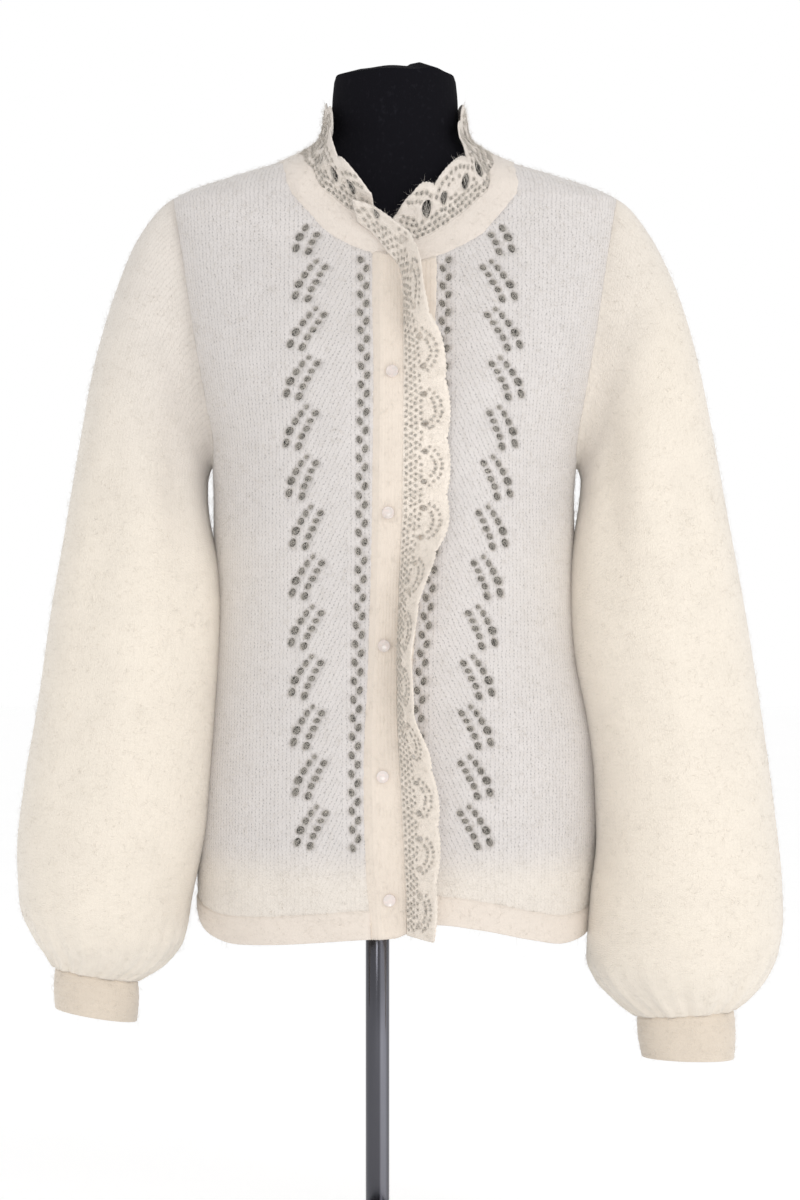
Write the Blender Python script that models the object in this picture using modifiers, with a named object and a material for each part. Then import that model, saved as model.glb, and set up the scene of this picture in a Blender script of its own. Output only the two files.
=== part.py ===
"""Mohair cardigan with eyelet fronts and a crochet edging, worn by a limbless dress form on a stand.

Metres, +Z up, and the front faces -Y. Right and left are the wearer's, so right lies at -X.
The origin is on the floor under the middle of the stand's pole.
"""

import math

import bmesh
import bpy
from mathutils import Vector
from mathutils.geometry import delaunay_2d_cdt

# Driving dimensions
CENTRE_X = 0.014
KNIT_WALL = 0.002
BAND_WALL = 0.0024
LACE_WALL = 0.0016
SEAM_GAP = 0.0004
LAYER_GAP = 0.0008

HEM_LEVEL = 0.280
NECK_LEVEL = 0.810
COLLAR_LEVEL = 0.830
HEM_BAND = 0.022
COLLAR_LACE = 0.047
LACE_WIDTH = 0.036
UNDER_PLACKET = 0.034
UNDER_CLEAR = 0.004
CUFF_BULGE = 0.0008

ARMPIT = 0.645
SHOULDER_TIP = 0.861
ARMHOLE_FRONT = 17.0
ARMHOLE_BACK = 20.0
ARMHOLE_ROUND = 0.8
ARMHOLE_BLEND = 1.1

BUTTON_WIDTH = 0.0095
BUTTON_DEPTH = 0.0026

FORM_BOTTOM = 0.340
FORM_SHOULDER = 0.840
POLE_RADIUS = 0.0095
BASE_RADIUS = 0.140
BASE_DEPTH = 0.008

# The worn shape of fronts, back, neckband and collar as level ovals
BODY = (
    # height, half width right, half width left, front depth, back depth, bluntness (2 is an oval)
    (0.260, 0.149, 0.153, 0.111, 0.107, 2.0),
    (0.300, 0.1575, 0.158, 0.115, 0.110, 2.0),
    (0.340, 0.1580, 0.162, 0.117, 0.111, 2.0),
    (0.385, 0.1570, 0.165, 0.117, 0.111, 2.0),
    (0.430, 0.153, 0.164, 0.116, 0.108, 2.0),
    (0.460, 0.151, 0.158, 0.115, 0.105, 2.0),
    (0.500, 0.148, 0.150, 0.114, 0.100, 2.0),
    (0.560, 0.145, 0.145, 0.114, 0.096, 2.0),
    (0.620, 0.145, 0.143, 0.118, 0.096, 2.0),
    (0.660, 0.147, 0.147, 0.121, 0.098, 2.0),
    (0.700, 0.156, 0.156, 0.117, 0.101, 2.1),
    (0.740, 0.164, 0.164, 0.107, 0.102, 2.25),
    (0.780, 0.170, 0.170, 0.091, 0.099, 2.4),
    (0.816, 0.174, 0.174, 0.073, 0.091, 2.5),
    (0.840, 0.1765, 0.1765, 0.064, 0.083, 2.5),
    (0.858, 0.1775, 0.1775, 0.0585, 0.076, 2.5),
    (0.866, 0.164, 0.164, 0.0573, 0.073, 2.5),
    (0.877, 0.131, 0.131, 0.0560, 0.068, 2.4),
    (0.892, 0.085, 0.085, 0.0547, 0.062, 2.15),
    (0.908, 0.0610, 0.0610, 0.0540, 0.058, 2.0),
    (0.924, 0.0565, 0.0565, 0.0535, 0.0555, 2.0),
    (0.950, 0.0535, 0.0535, 0.0530, 0.054, 2.0),
)

# How far inside the cardigan the dress form stays
FORM_EASE = (
    # height, at the sides, at the front, at the back
    (0.340, 0.014, 0.014, 0.012),
    (0.420, 0.012, 0.014, 0.012),
    (0.500, 0.018, 0.018, 0.014),
    (0.560, 0.022, 0.018, 0.014),
    (0.620, 0.014, 0.010, 0.009),
    (0.680, 0.009, 0.007, 0.0075),
    (0.780, 0.008, 0.0065, 0.007),
    (0.856, 0.010, 0.0065, 0.007),
    (0.876, 0.013, 0.0065, 0.007),
    (0.892, 0.012, 0.0060, 0.007),
    (0.908, 0.0095, 0.0055, 0.0065),
    (0.924, 0.0058, 0.0050, 0.0055),
    (0.940, 0.0044, 0.0044, 0.0050),
)
FORM_SLOPE = (0.852, 0.860, 0.868, 0.878, 0.892, 0.908, 0.924)
NECK_TOP = (
    # height, share of the neck's width
    (0.950, 1.00),
    (0.957, 0.985),
    (0.961, 0.945),
    (0.9638, 0.86),
    (0.965, 0.62),
)

# Edges of the panels on that shape, by angle from the middle of the front, left being positive
HEM = (
    # degrees round from the front, height
    (-180, 0.270),
    (-120, 0.273),
    (-90, 0.284),
    (-72, 0.276),
    (-55, 0.2715),
    (-40, 0.273),
    (-12, 0.279),
    (0, 0.2815),
    (5, 0.287),
    (11, 0.291),
    (25, 0.286),
    (42, 0.277),
    (58, 0.2715),
    (74, 0.275),
    (90, 0.282),
    (120, 0.273),
    (180, 0.270),
)
NECKLINE = (
    # degrees round from its lowest point, seam of the neckband, top of the neckband
    (0.0, 0.8030, 0.8195),
    (1.6, 0.8042, 0.8220),
    (6.0, 0.8100, 0.8320),
    (10.4, 0.8170, 0.8435),
    (15.0, 0.8262, 0.8570),
    (20.6, 0.8450, 0.8690),
    (27.0, 0.8640, 0.8765),
    (39.5, 0.8765, 0.8835),
    (60.0, 0.8850, 0.8915),
    (90.0, 0.8885, 0.8965),
    (135.0, 0.8865, 0.8975),
    (180.0, 0.8845, 0.8985),
)
NECK_TURN = 2.7

# Lines of each front, across the front view from the form's middle
RIGHT_FRONT = (
    # height, placket seam, eyelet zigzag, leaf eyelets
    (0.280, -0.0180, -0.0285, -0.063),
    (0.349, -0.0225, -0.0300, -0.064),
    (0.402, -0.0235, -0.0310, -0.066),
    (0.494, -0.0200, -0.0285, -0.069),
    (0.586, -0.0175, -0.0255, -0.068),
    (0.655, -0.0165, -0.0250, -0.073),
    (0.716, -0.0160, -0.0235, -0.072),
    (0.769, -0.0170, -0.0245, -0.066),
    (0.830, -0.0170, -0.0245, -0.066),
)
LEFT_FRONT = (
    # height, placket seam, eyelet zigzag, leaf eyelets
    (0.280, 0.0120, 0.0195, 0.063),
    (0.364, 0.0100, 0.0175, 0.062),
    (0.441, 0.0100, 0.0177, 0.063),
    (0.479, 0.0125, 0.0200, 0.064),
    (0.570, 0.0210, 0.0285, 0.073),
    (0.662, 0.0265, 0.0340, 0.082),
    (0.708, 0.0290, 0.0365, 0.087),
    (0.807, 0.0320, 0.0395, 0.080),
    (0.830, 0.0320, 0.0395, 0.080),
)
PLACKET_EDGE = (
    # height, the top placket's free edge
    (0.280, 0.0090),
    (0.311, 0.0085),
    (0.387, 0.0050),
    (0.464, 0.0015),
    (0.541, 0.0030),
    (0.616, 0.0055),
    (0.769, 0.0065),
    (0.830, 0.0065),
)

# Eyelets cut through the fronts
ZIGZAG_LOW, ZIGZAG_HIGH = 0.350, 0.797
ZIGZAG_STEP = 0.0071
ZIGZAG_SWING = 0.0023
ZIGZAG_SLANT = 0.15
ZIGZAG_HOLE = (0.0052, 0.0066)
LEAF_LOW = 0.354
LEAF_STEP = 0.03835
LEAF_COUNT = 13
LEAF_HOLES = (
    # towards the placket, up, width, height
    (-0.0110, 0.0000, 0.0052, 0.0064),
    (-0.0084, 0.0091, 0.0064, 0.0064),
    (-0.0039, 0.0163, 0.0050, 0.0056),
    (-0.0012, -0.0027, 0.0052, 0.0058),
    (0.0014, 0.0048, 0.0050, 0.0052),
)

# Lean of the crochet edging out of the surface it is sewn to
COLLAR_LEAN = (
    # degrees round the neck, lean at the free edge in degrees
    (0, 8),
    (60, 3),
    (90, 1),
    (270, 1),
    (320, 4),
    (340, 11),
    (349, 22),
    (355, 34),
    (360, 40),
)
FRONT_LACE = (
    # height, seam across the front view, degrees the lace turns from upright, lean in degrees, lift
    (0.284, 0.0100, 90, 60, 0.0032),
    (0.311, 0.0095, 90, 57, 0.0032),
    (0.326, 0.0088, 90, 54, 0.0032),
    (0.374, 0.0063, 90, 44, 0.0032),
    (0.414, 0.0045, 90, 52, 0.0032),
    (0.452, 0.0028, 90, 72, 0.0032),
    (0.494, 0.0025, 90, 75, 0.0032),
    (0.540, 0.0038, 90, 68, 0.0032),
    (0.576, 0.0050, 90, 48, 0.0032),
    (0.613, 0.0063, 90, 14, 0.0032),
    (0.662, 0.0068, 90, 10, 0.0032),
    (0.7325, 0.0072, 90, 40, 0.0032),
    (0.752, 0.0073, 88, 60, 0.0034),
    (0.767, 0.0073, 80, 66, 0.0044),
    (0.782, 0.0068, 46, 58, 0.0060),
    (0.795, 0.0040, 31, 50, 0.0062),
    (0.807, -0.0053, 27, 46, 0.0064),
    (0.822, -0.0160, 12, 44, 0.0066),
    (0.832, -0.0280, -17, 36, 0.0056),
)
SCALLOP = 0.050
SCALLOP_DEPTH = 0.006
LACE_HOLES = (
    # along the repeat, across as a share of the lace, width, height
    (-0.0115, 0.44, 0.0052, 0.0090),
    (0.0115, 0.44, 0.0052, 0.0090),
)
COLLAR_END = -0.0290
LACE_END_SHARE = 0.38
LACE_END_LENGTH = 0.030

# Sleeves as slanting rings between an outer and an inner edge in the front view
RIGHT_SLEEVE = (
    # ring, outer x, outer z, inner x, inner z, half depth, middle y
    (0.0, -0.1780, 0.8610, -0.1480, 0.6450, 0.0300, 0.0010),
    (0.5, -0.1925, 0.8510, -0.1495, 0.6400, 0.0360, 0.0000),
    (1.0, -0.2070, 0.8260, -0.1505, 0.6340, 0.0410, -0.0020),
    (2.0, -0.2255, 0.7775, -0.1515, 0.6180, 0.0490, -0.0060),
    (3.0, -0.2399, 0.7241, -0.1500, 0.5960, 0.0530, -0.0120),
    (4.0, -0.2501, 0.6641, -0.1465, 0.5680, 0.0550, -0.0190),
    (5.0, -0.2604, 0.5994, -0.1450, 0.5300, 0.0570, -0.0250),
    (6.0, -0.2720, 0.5301, -0.1475, 0.4800, 0.0600, -0.0280),
    (7.0, -0.2818, 0.4609, -0.1515, 0.4250, 0.0630, -0.0290),
    (8.0, -0.2927, 0.3966, -0.1555, 0.3720, 0.0650, -0.0290),
    (9.0, -0.2988, 0.3421, -0.1620, 0.3250, 0.0650, -0.0270),
    (10.0, -0.2971, 0.3023, -0.1644, 0.2944, 0.0610, -0.0250),
    (11.0, -0.2864, 0.2744, -0.1695, 0.2704, 0.0530, -0.0230),
    (12.0, -0.2747, 0.2573, -0.1825, 0.2523, 0.0400, -0.0210),
    (13.0, -0.2697, 0.2483, -0.2039, 0.2373, 0.0255, -0.0200),
)
LEFT_SLEEVE = (
    # ring, outer x, outer z, inner x, inner z, half depth, middle y
    (0.0, 0.1780, 0.8610, 0.1480, 0.6450, 0.0300, 0.0010),
    (0.5, 0.1925, 0.8510, 0.1490, 0.6400, 0.0360, 0.0000),
    (1.0, 0.2070, 0.8260, 0.1495, 0.6340, 0.0420, -0.0020),
    (2.0, 0.2255, 0.7844, 0.1490, 0.6160, 0.0500, -0.0060),
    (3.0, 0.2399, 0.7341, 0.1470, 0.5940, 0.0540, -0.0120),
    (4.0, 0.2522, 0.6710, 0.1450, 0.5640, 0.0560, -0.0190),
    (5.0, 0.2635, 0.6054, 0.1460, 0.5280, 0.0580, -0.0250),
    (6.0, 0.2749, 0.5420, 0.1500, 0.4900, 0.0610, -0.0290),
    (7.0, 0.2846, 0.4807, 0.1585, 0.4500, 0.0640, -0.0310),
    (8.0, 0.2935, 0.4214, 0.1635, 0.4020, 0.0670, -0.0310),
    (9.0, 0.3004, 0.3681, 0.1630, 0.3560, 0.0690, -0.0310),
    (10.0, 0.3055, 0.3206, 0.1575, 0.3120, 0.0690, -0.0300),
    (11.0, 0.3067, 0.2868, 0.1545, 0.2810, 0.0650, -0.0280),
    (12.0, 0.3030, 0.2608, 0.1530, 0.2570, 0.0580, -0.0260),
    (13.0, 0.2933, 0.2398, 0.1605, 0.2388, 0.0480, -0.0240),
    (14.0, 0.2796, 0.2237, 0.1775, 0.2217, 0.0360, -0.0220),
    (15.0, 0.2690, 0.2146, 0.1920, 0.2097, 0.0265, -0.0210),
)
RIGHT_CUFF_END = (-0.2697, 0.2165, -0.2049, 0.2056)
LEFT_CUFF_END = (0.2690, 0.1760, 0.1959, 0.1779)
SLEEVE_GATHERS = 10
GATHER_DEPTH = 0.0013
GATHER_RINGS = 2.6
SLEEVE_FOLDS = (
    # degrees from the outer edge round the front, depth, ring where it is deepest, rings it spans
    (118, 0.0075, 3.2, 3.4),
    (62, 0.0040, 5.5, 5.0),
    (245, 0.0050, 4.0, 5.0),
)
FOLD_WIDTH = 19.0

# Buttons on the top placket, in the front view from the form's middle
BUTTONS = (
    # across, height
    (-0.0020, 0.714),
    (-0.0050, 0.607),
    (-0.0080, 0.505),
    (-0.0090, 0.405),
    (-0.0040, 0.311),
)

# How finely the solids are divided
PANEL_STEP = 0.034
EDGE_STEP = 0.024
LACE_STEP = 0.021
PLACKET_ROWS = 23
SLEEVE_SIDES = 24
SLEEVE_RINGS = 17
CUFF_SIDES = 20
FORM_SIDES = 26
FORM_RINGS = 15
FLAT_RADIUS = 0.140
SHOULDER_STRETCH = 3.0
SLOPE_START = 0.850

COLOURS = {
    # name: colour, roughness, metallic
    "knit": ((0.80, 0.76, 0.71, 1.0), 0.95, 0.0),
    "knit_band": ((0.84, 0.76, 0.66, 1.0), 0.95, 0.0),
    "crochet": ((0.82, 0.75, 0.67, 1.0), 0.92, 0.0),
    "pearl": ((0.88, 0.82, 0.82, 1.0), 0.18, 0.0),
    "form_jersey": ((0.007, 0.007, 0.009, 1.0), 0.9, 0.0),
    "chrome": ((0.62, 0.62, 0.64, 1.0), 0.12, 1.0),
}


def steepness(rows, column, index):
    """Slope of a column at a row, flat at a peak so that the curve never overshoots."""
    rises = []
    for first in (index - 1, index):
        if 0 <= first < len(rows) - 1:
            low, high = rows[first], rows[first + 1]
            rises.append((high[column] - low[column]) / (high[0] - low[0]))
    if len(rises) == 1:
        return rises[0]
    before, after = rises
    return 0.0 if before * after <= 0 else 2 * before * after / (before + after)


def read_row(rows, at):
    """The columns of a table at a value of its first column, on a smooth curve through its rows."""
    at = min(max(at, rows[0][0]), rows[-1][0])
    index = max(i for i in range(len(rows) - 1) if rows[i][0] <= at)
    low, high = rows[index], rows[index + 1]
    span = high[0] - low[0]
    t = (at - low[0]) / span
    values = []
    for column in range(1, len(low)):
        leave = steepness(rows, column, index) * span
        arrive = steepness(rows, column, index + 1) * span
        values.append(
            low[column] * (1 + 2 * t) * (1 - t) ** 2
            + high[column] * t * t * (3 - 2 * t)
            + leave * t * (1 - t) ** 2
            - arrive * t * t * (1 - t)
        )
    return values


def steps(start, end, count):
    """Evenly spaced values from start to end, both included."""
    return [start + (end - start) * i / (count - 1) for i in range(count)]


def fold_angle(degrees):
    """An angle round the body as its distance from the middle of the front, from 0 to 180."""
    return abs((degrees + 180) % 360 - 180)


def hem_height(degrees):
    return read_row(HEM, (degrees + 180) % 360 - 180)[0]


def neck_height(degrees):
    return read_row(NECKLINE, fold_angle(degrees - NECK_TURN))[0]


def band_top(degrees):
    return read_row(NECKLINE, fold_angle(degrees - NECK_TURN))[1]


# The worn shape

def signed_power(value, power):
    return math.copysign(abs(value) ** power, value)


def blunt_oval(degrees, right, left, front, back, blunt):
    """Distance across and forwards of a point on a level section."""
    sine, cosine = math.sin(math.radians(degrees)), math.cos(math.radians(degrees))
    across = signed_power(sine, 2 / blunt) * (left if sine > 0 else right)
    return across, signed_power(cosine, 2 / blunt) * (front if cosine > 0 else back)


def oval_point(degrees, height):
    across, forwards = blunt_oval(degrees, *read_row(BODY, height))
    return Vector((CENTRE_X + across, -forwards, height))


def body_point(degrees, height, lift=0.0):
    """A point of the worn shape, moved out of it by lift."""
    nudge = 0.0004
    round_it = oval_point(degrees + 0.2, height) - oval_point(degrees - 0.2, height)
    up = oval_point(degrees, height + nudge) - oval_point(degrees, height - nudge)
    return oval_point(degrees, height) + round_it.cross(up).normalized() * lift


def angle_across(across, height):
    """The angle on the front of the body that lies at a distance across the front view."""
    right, left, _, _, blunt = read_row(BODY, height)
    share = across / (left if across > 0 else right)
    return math.degrees(math.asin(signed_power(share, blunt / 2)))


def neck_angle(degrees, height):
    """The section's own angle for a direction round the neck as seen from above."""
    right, left, front, back, blunt = read_row(BODY, height)
    sine, cosine = math.sin(math.radians(degrees)), math.cos(math.radians(degrees))
    across = signed_power(sine / (left if sine > 0 else right), blunt / 2)
    along = signed_power(cosine / (front if cosine > 0 else back), blunt / 2)
    return math.degrees(math.atan2(across, along)) % 360


# Flat patterns: length round the body, and height with the shoulder slope laid out

def to_flat(degrees, height):
    above = max(0.0, height - SLOPE_START)
    return math.radians(degrees) * FLAT_RADIUS, height + above * (SHOULDER_STRETCH - 1)


def from_flat(u, v):
    above = max(0.0, v - SLOPE_START)
    return math.degrees(u / FLAT_RADIUS), v - above * (1 - 1 / SHOULDER_STRETCH)


def place_on_body(u, v):
    return body_point(*from_flat(u, v))


def inside(point, loop):
    """Whether a flat point lies inside a closed outline."""
    found = False
    for (ax, ay), (bx, by) in zip(loop, loop[1:] + loop[:1]):
        if (ay > point[1]) != (by > point[1]):
            if point[0] < (bx - ax) * (point[1] - ay) / (by - ay) + ax:
                found = not found
    return found


def lattice(outline, taken, step):
    """Points spread over an outline, clear of the points that are already taken."""
    clear = step * 0.45
    low_u, high_u = min(p[0] for p in outline), max(p[0] for p in outline)
    low_v, high_v = min(p[1] for p in outline), max(p[1] for p in outline)
    found = []
    for row in range(int((high_v - low_v) / step) + 1):
        for column in range(int((high_u - low_u) / step) + 2):
            point = (low_u + (column - 0.5 * (row % 2)) * step, low_v + row * step)
            if inside(point, outline) and all(math.dist(point, other) > clear for other in taken):
                found.append(point)
    return found


def wall_mesh(name, flat, faces, place, wall):
    """A cloth wall: flat points carried onto a shape by place(u, v), and a second skin behind them."""
    nudge = 0.0002
    outer, inner = [], []
    for u, v in flat:
        along = place(u + nudge, v) - place(u - nudge, v)
        across = place(u, v + nudge) - place(u, v - nudge)
        point = place(u, v)
        outer.append(point)
        inner.append(point - along.cross(across).normalized() * wall)
    count = len(flat)
    edges = {(face[i - 1], face[i]) for face in faces for i in range(len(face))}
    rims = [(b, a, a + count, b + count) for a, b in edges if (b, a) not in edges]
    backs = [tuple(corner + count for corner in reversed(face)) for face in faces]
    mesh = bpy.data.meshes.new(name)
    mesh.from_pydata(outer + inner, [], [tuple(face) for face in faces] + backs + sorted(rims))
    mesh.polygons.foreach_set("use_smooth", [True] * (2 * len(faces)) + [False] * len(rims))
    return mesh


def pattern_mesh(name, outline, holes, step, place, wall):
    """A cloth piece cut from a flat outline with holes."""
    points, owners, edges = [], [], []
    for owner, loop in enumerate([outline] + holes):
        start = len(points)
        points += loop
        owners += [owner] * len(loop)
        edges += [(start + i, start + (i + 1) % len(loop)) for i in range(len(loop))]
    points += lattice(outline, points, step)
    owners += [0] * (len(points) - len(owners))
    flat = [Vector(point) for point in points]
    made, _, faces, sources, _, _ = delaunay_2d_cdt(flat, edges, [], 1, 1e-9)
    owner_of = [owners[source[0]] for source in sources]
    kept = []
    for face in faces:
        found = {owner_of[corner] for corner in face}
        if len(found) > 1 or 0 in found:
            kept.append(face)
    return wall_mesh(name, made, kept, place, wall)


def strip_mesh(name, us, vs, place, wall):
    """A cloth band over a grid of flat points."""
    flat = [(u, v) for v in vs for u in us]
    wide = len(us)
    faces = []
    for row in range(len(vs) - 1):
        for column in range(wide - 1):
            first = row * wide + column
            faces.append((first, first + 1, first + wide + 1, first + wide))
    return wall_mesh(name, flat, faces, place, wall)


def loft_mesh(name, rings, capped=False):
    """A tube through closed rings of points, with its ends filled where it is capped."""
    work = bmesh.new()
    loops = [[work.verts.new(point) for point in ring] for ring in rings]
    for lower, upper in zip(loops, loops[1:]):
        for i in range(len(lower)):
            j = (i + 1) % len(lower)
            work.faces.new((lower[i], lower[j], upper[j], upper[i]))
    if capped:
        work.faces.new(loops[0][::-1])
        work.faces.new(loops[-1])
    mesh = bpy.data.meshes.new(name)
    work.to_mesh(mesh)
    work.free()
    return mesh


# Objects

def material_of(name):
    found = bpy.data.materials.get(name)
    if found:
        return found
    colour, roughness, metallic = COLOURS[name]
    made = bpy.data.materials.new(name)
    made.use_nodes = True
    made.diffuse_color = colour
    shader = made.node_tree.nodes["Principled BSDF"]
    shader.inputs["Base Color"].default_value = colour
    shader.inputs["Roughness"].default_value = roughness
    shader.inputs["Metallic"].default_value = metallic
    return made


def add_part(mesh, material):
    mesh.materials.append(material_of(material))
    part = bpy.data.objects.new(mesh.name, mesh)
    PARTS.objects.link(part)
    return part


def add_tube(mesh, material, wall):
    """A cloth tube: its outer surface with a wall of even thickness inside it."""
    mesh.shade_smooth()
    part = add_part(mesh, material)
    solid = part.modifiers.new("Wall", "SOLIDIFY")
    solid.thickness = wall
    solid.offset = -1.0
    return part


# Fronts and back

def armhole_edge(side, part):
    """Armhole from armpit to shoulder tip, on the front (part 1) or the back (part -1)."""
    reach = ARMHOLE_FRONT if part > 0 else ARMHOLE_BACK
    middle, half = (ARMPIT + SHOULDER_TIP) / 2, (SHOULDER_TIP - ARMPIT) / 2
    edge = []
    for turn in steps(0, math.pi, SLEEVE_SIDES // 2 + 1):
        degrees = side * (90 - part * reach * math.sin(turn) ** ARMHOLE_ROUND)
        edge.append((degrees, middle - half * math.cos(turn)))
    return edge


def shift_seam(edge, degrees):
    return [(angle + degrees, height) for angle, height in edge]


def count_for(length):
    return max(3, round(length / EDGE_STEP) + 1)


def hem_edge(start, end, raise_by):
    count = count_for(math.radians(abs(end - start)) * FLAT_RADIUS)
    return [(angle, hem_height(angle) + raise_by) for angle in steps(start, end, count)]


def seam_edge(lines, low, high, shift):
    """A front's placket seam from low to high, as angle and height."""
    heights = steps(low, high, count_for(high - low))
    return [(angle_across(read_row(lines, h)[0] + shift, h), h) for h in heights]


def neck_stations(start, end):
    """Angles along the neckline that every piece sewn to it shares, from start to end."""
    between = [angle for angle in NECK_ANGLES if start + 1 < angle < end - 1]
    return [start] + between + [end]


def neck_edge(start, end, drop):
    return [(angle, neck_height(angle) - drop) for angle in neck_stations(start, end)]


def eyelet(angle, height, width, tall, sides, slant=0.0):
    """A hole's outline on the flat pattern, of the given real width and height."""
    u, v = to_flat(angle, height)
    right, left = read_row(BODY, height)[:2]
    squeeze = FLAT_RADIUS / ((right + left) / 2)
    loop = []
    for i in range(sides):
        turn = 2 * math.pi * (i + 0.5) / sides + math.pi / sides
        rise = 0.5 * tall * math.cos(turn)
        loop.append((u + squeeze * (0.5 * width * math.sin(turn) + slant * rise), v + rise))
    return loop


def zigzag_eyelets(lines, side):
    """Two columns of eyelets beside the placket, set by turns nearer and further."""
    holes = []
    for i in range(int((ZIGZAG_HIGH - ZIGZAG_LOW) / ZIGZAG_STEP) + 1):
        height = ZIGZAG_LOW + i * ZIGZAG_STEP
        turn = side if i % 2 else -side
        across = read_row(lines, height)[1] - turn * ZIGZAG_SWING
        holes.append(eyelet(angle_across(across, height), height, *ZIGZAG_HOLE, 4, -turn * ZIGZAG_SLANT))
    return holes


def leaf_eyelets(lines, side):
    """Slanting pairs of eyelet rows that climb towards the placket, one pair to a leaf."""
    holes = []
    for leaf in range(LEAF_COUNT):
        for inward, up, width, tall in LEAF_HOLES:
            height = LEAF_LOW + leaf * LEAF_STEP + up
            across = read_row(lines, height)[2] - side * inward
            angle = angle_across(across, height)
            if height < neck_height(angle) - 0.006:
                holes.append(eyelet(angle, height, width, tall, 5))
    return holes


def make_front(name, lines, side):
    gap = side * math.degrees(SEAM_GAP / 2 / FLAT_RADIUS)
    low, high = hem_height(6) + HEM_BAND + SEAM_GAP, neck_height(6) - SEAM_GAP
    seam = seam_edge(lines, low, high, side * SEAM_GAP)
    hem = hem_edge(seam[0][0], side * 90 - gap, HEM_BAND + SEAM_GAP)
    side_heights = steps(hem[-1][1], ARMPIT, count_for(ARMPIT - hem[-1][1]))
    side_seam = [(side * 90 - gap, height) for height in side_heights]
    armhole = shift_seam(armhole_edge(side, 1), -gap)
    wrap = 360 if side < 0 else 0
    ends = sorted((side * 90 - gap + wrap, seam[-1][0] + wrap))
    neck = shift_seam(neck_edge(*ends, SEAM_GAP), -wrap)
    if side > 0:
        neck.reverse()
    shoulder = [(side * 90 - gap, height) for height in steps(SHOULDER_TIP, neck[0][1], 5)]
    edge = hem + side_seam[1:-1] + armhole + shoulder[1:-1] + neck[:-1] + seam[:0:-1]
    outline = [to_flat(*point) for point in edge]
    holes = zigzag_eyelets(lines, side) + leaf_eyelets(lines, side)
    add_part(pattern_mesh(name, outline, holes, PANEL_STEP, place_on_body, KNIT_WALL), "knit")


def make_back():
    gap = math.degrees(SEAM_GAP / 2 / FLAT_RADIUS)
    start, end = 90 + gap, 270 - gap
    hem = hem_edge(start, end, HEM_BAND + SEAM_GAP)
    heights = steps(hem[0][1], ARMPIT, count_for(ARMPIT - hem[0][1]))
    neck = neck_edge(start, end, SEAM_GAP)
    slope = steps(SHOULDER_TIP, neck[0][1], 5)
    left_hole = shift_seam(armhole_edge(1, -1), gap)
    right_hole = [(360 + angle - gap, height) for angle, height in armhole_edge(-1, -1)]
    left_side = [(start, h) for h in heights[1:-1]] + left_hole + [(start, h) for h in slope[1:-1]]
    right_side = [(end, h) for h in heights[1:-1]] + right_hole + [(end, h) for h in slope[1:-1]]
    edge = hem + right_side + neck[::-1] + left_side[::-1]
    outline = [to_flat(*point) for point in edge]
    add_part(pattern_mesh("back", outline, [], PANEL_STEP, place_on_body, KNIT_WALL), "knit")


# Bands

def make_hem_band(name, start, end):
    """The folded hem, a little proud of the panel above it."""
    def place(u, v):
        degrees = math.degrees(u / FLAT_RADIUS)
        return body_point(degrees, hem_height(degrees) + v, BAND_WALL - KNIT_WALL)

    us = [math.radians(angle) * FLAT_RADIUS for angle, _ in hem_edge(start, end, 0.0)]
    add_part(strip_mesh(name, us, (0.0, HEM_BAND), place, BAND_WALL), "knit_band")


def overlap_lift(degrees):
    """How far a band at this turn round the neck lies out, to pass over its own start."""
    start, end = 300.0, 345.0
    t = min(max((degrees - start) / (end - start), 0.0), 1.0)
    return (BAND_WALL + LAYER_GAP) * t * t * (3 - 2 * t)


def make_neck_band():
    """The band round the neck, its right end lying over its left end in front."""
    def place(u, v):
        degrees = math.degrees(u / FLAT_RADIUS)
        height = neck_height(degrees) + v / FLAT_RADIUS * (band_top(degrees) - neck_height(degrees))
        return body_point(degrees, height, overlap_lift(degrees) + BAND_WALL - KNIT_WALL)

    us = [math.radians(angle) * FLAT_RADIUS for angle in neck_stations(NECK_START, NECK_END)]
    add_part(strip_mesh("neck_band", us, (0.0, FLAT_RADIUS), place, BAND_WALL), "knit_band")


def make_placket(name, edges, lift, wall):
    """A placket between the two edges that edges(height) gives across the front view."""
    def place(u, v):
        low, high = HEM_LEVEL, NECKLINE[0][1]
        left, right = edges(low + (high - low) * v)
        across = left + (right - left) * u
        bottom = hem_height(angle_across(across, low))
        top = neck_height(angle_across(across, high)) - 3 * SEAM_GAP
        height = bottom + (top - bottom) * v
        return body_point(angle_across(across, height), height, lift)

    add_part(strip_mesh(name, (0.0, 0.5, 1.0), steps(0, 1, PLACKET_ROWS), place, wall), "knit_band")


def top_placket_edges(height):
    return read_row(RIGHT_FRONT, height)[0], read_row(PLACKET_EDGE, height)[0]


def under_placket_edges(height):
    seam = read_row(LEFT_FRONT, height)[0]
    return max(seam - UNDER_PLACKET, read_row(RIGHT_FRONT, height)[0] + UNDER_CLEAR), seam


# Crochet edging

def scalloped_outline(length, across, rounded=False):
    """A strip whose free edge is a row of round scallops, and the holes of each repeat."""
    repeats = max(1, round(length / SCALLOP))
    repeat = length / repeats
    sewn = [(s, 0.0) for s in steps(0, length, 4 * repeats + 1)]
    free, holes = [], []
    for i in range(repeats):
        for t in (0.0, 0.18, 0.5, 0.82):
            dip = SCALLOP_DEPTH * (1 - math.sin(math.pi * t) ** 0.6)
            free.append(((i + t) * repeat, across - dip))
        for along, share, width, tall in LACE_HOLES:
            middle_s, middle_t = (i + 0.5) * repeat + along, share * across
            holes.append([
                (middle_s - width / 2, middle_t + tall / 2),
                (middle_s, middle_t - tall / 2),
                (middle_s + width / 2, middle_t + tall / 2),
            ])
    free.append((length, across - SCALLOP_DEPTH))
    if rounded:
        free = [(s, t * end_share(s)) for s, t in free]
    return sewn + free[::-1], holes


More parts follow.
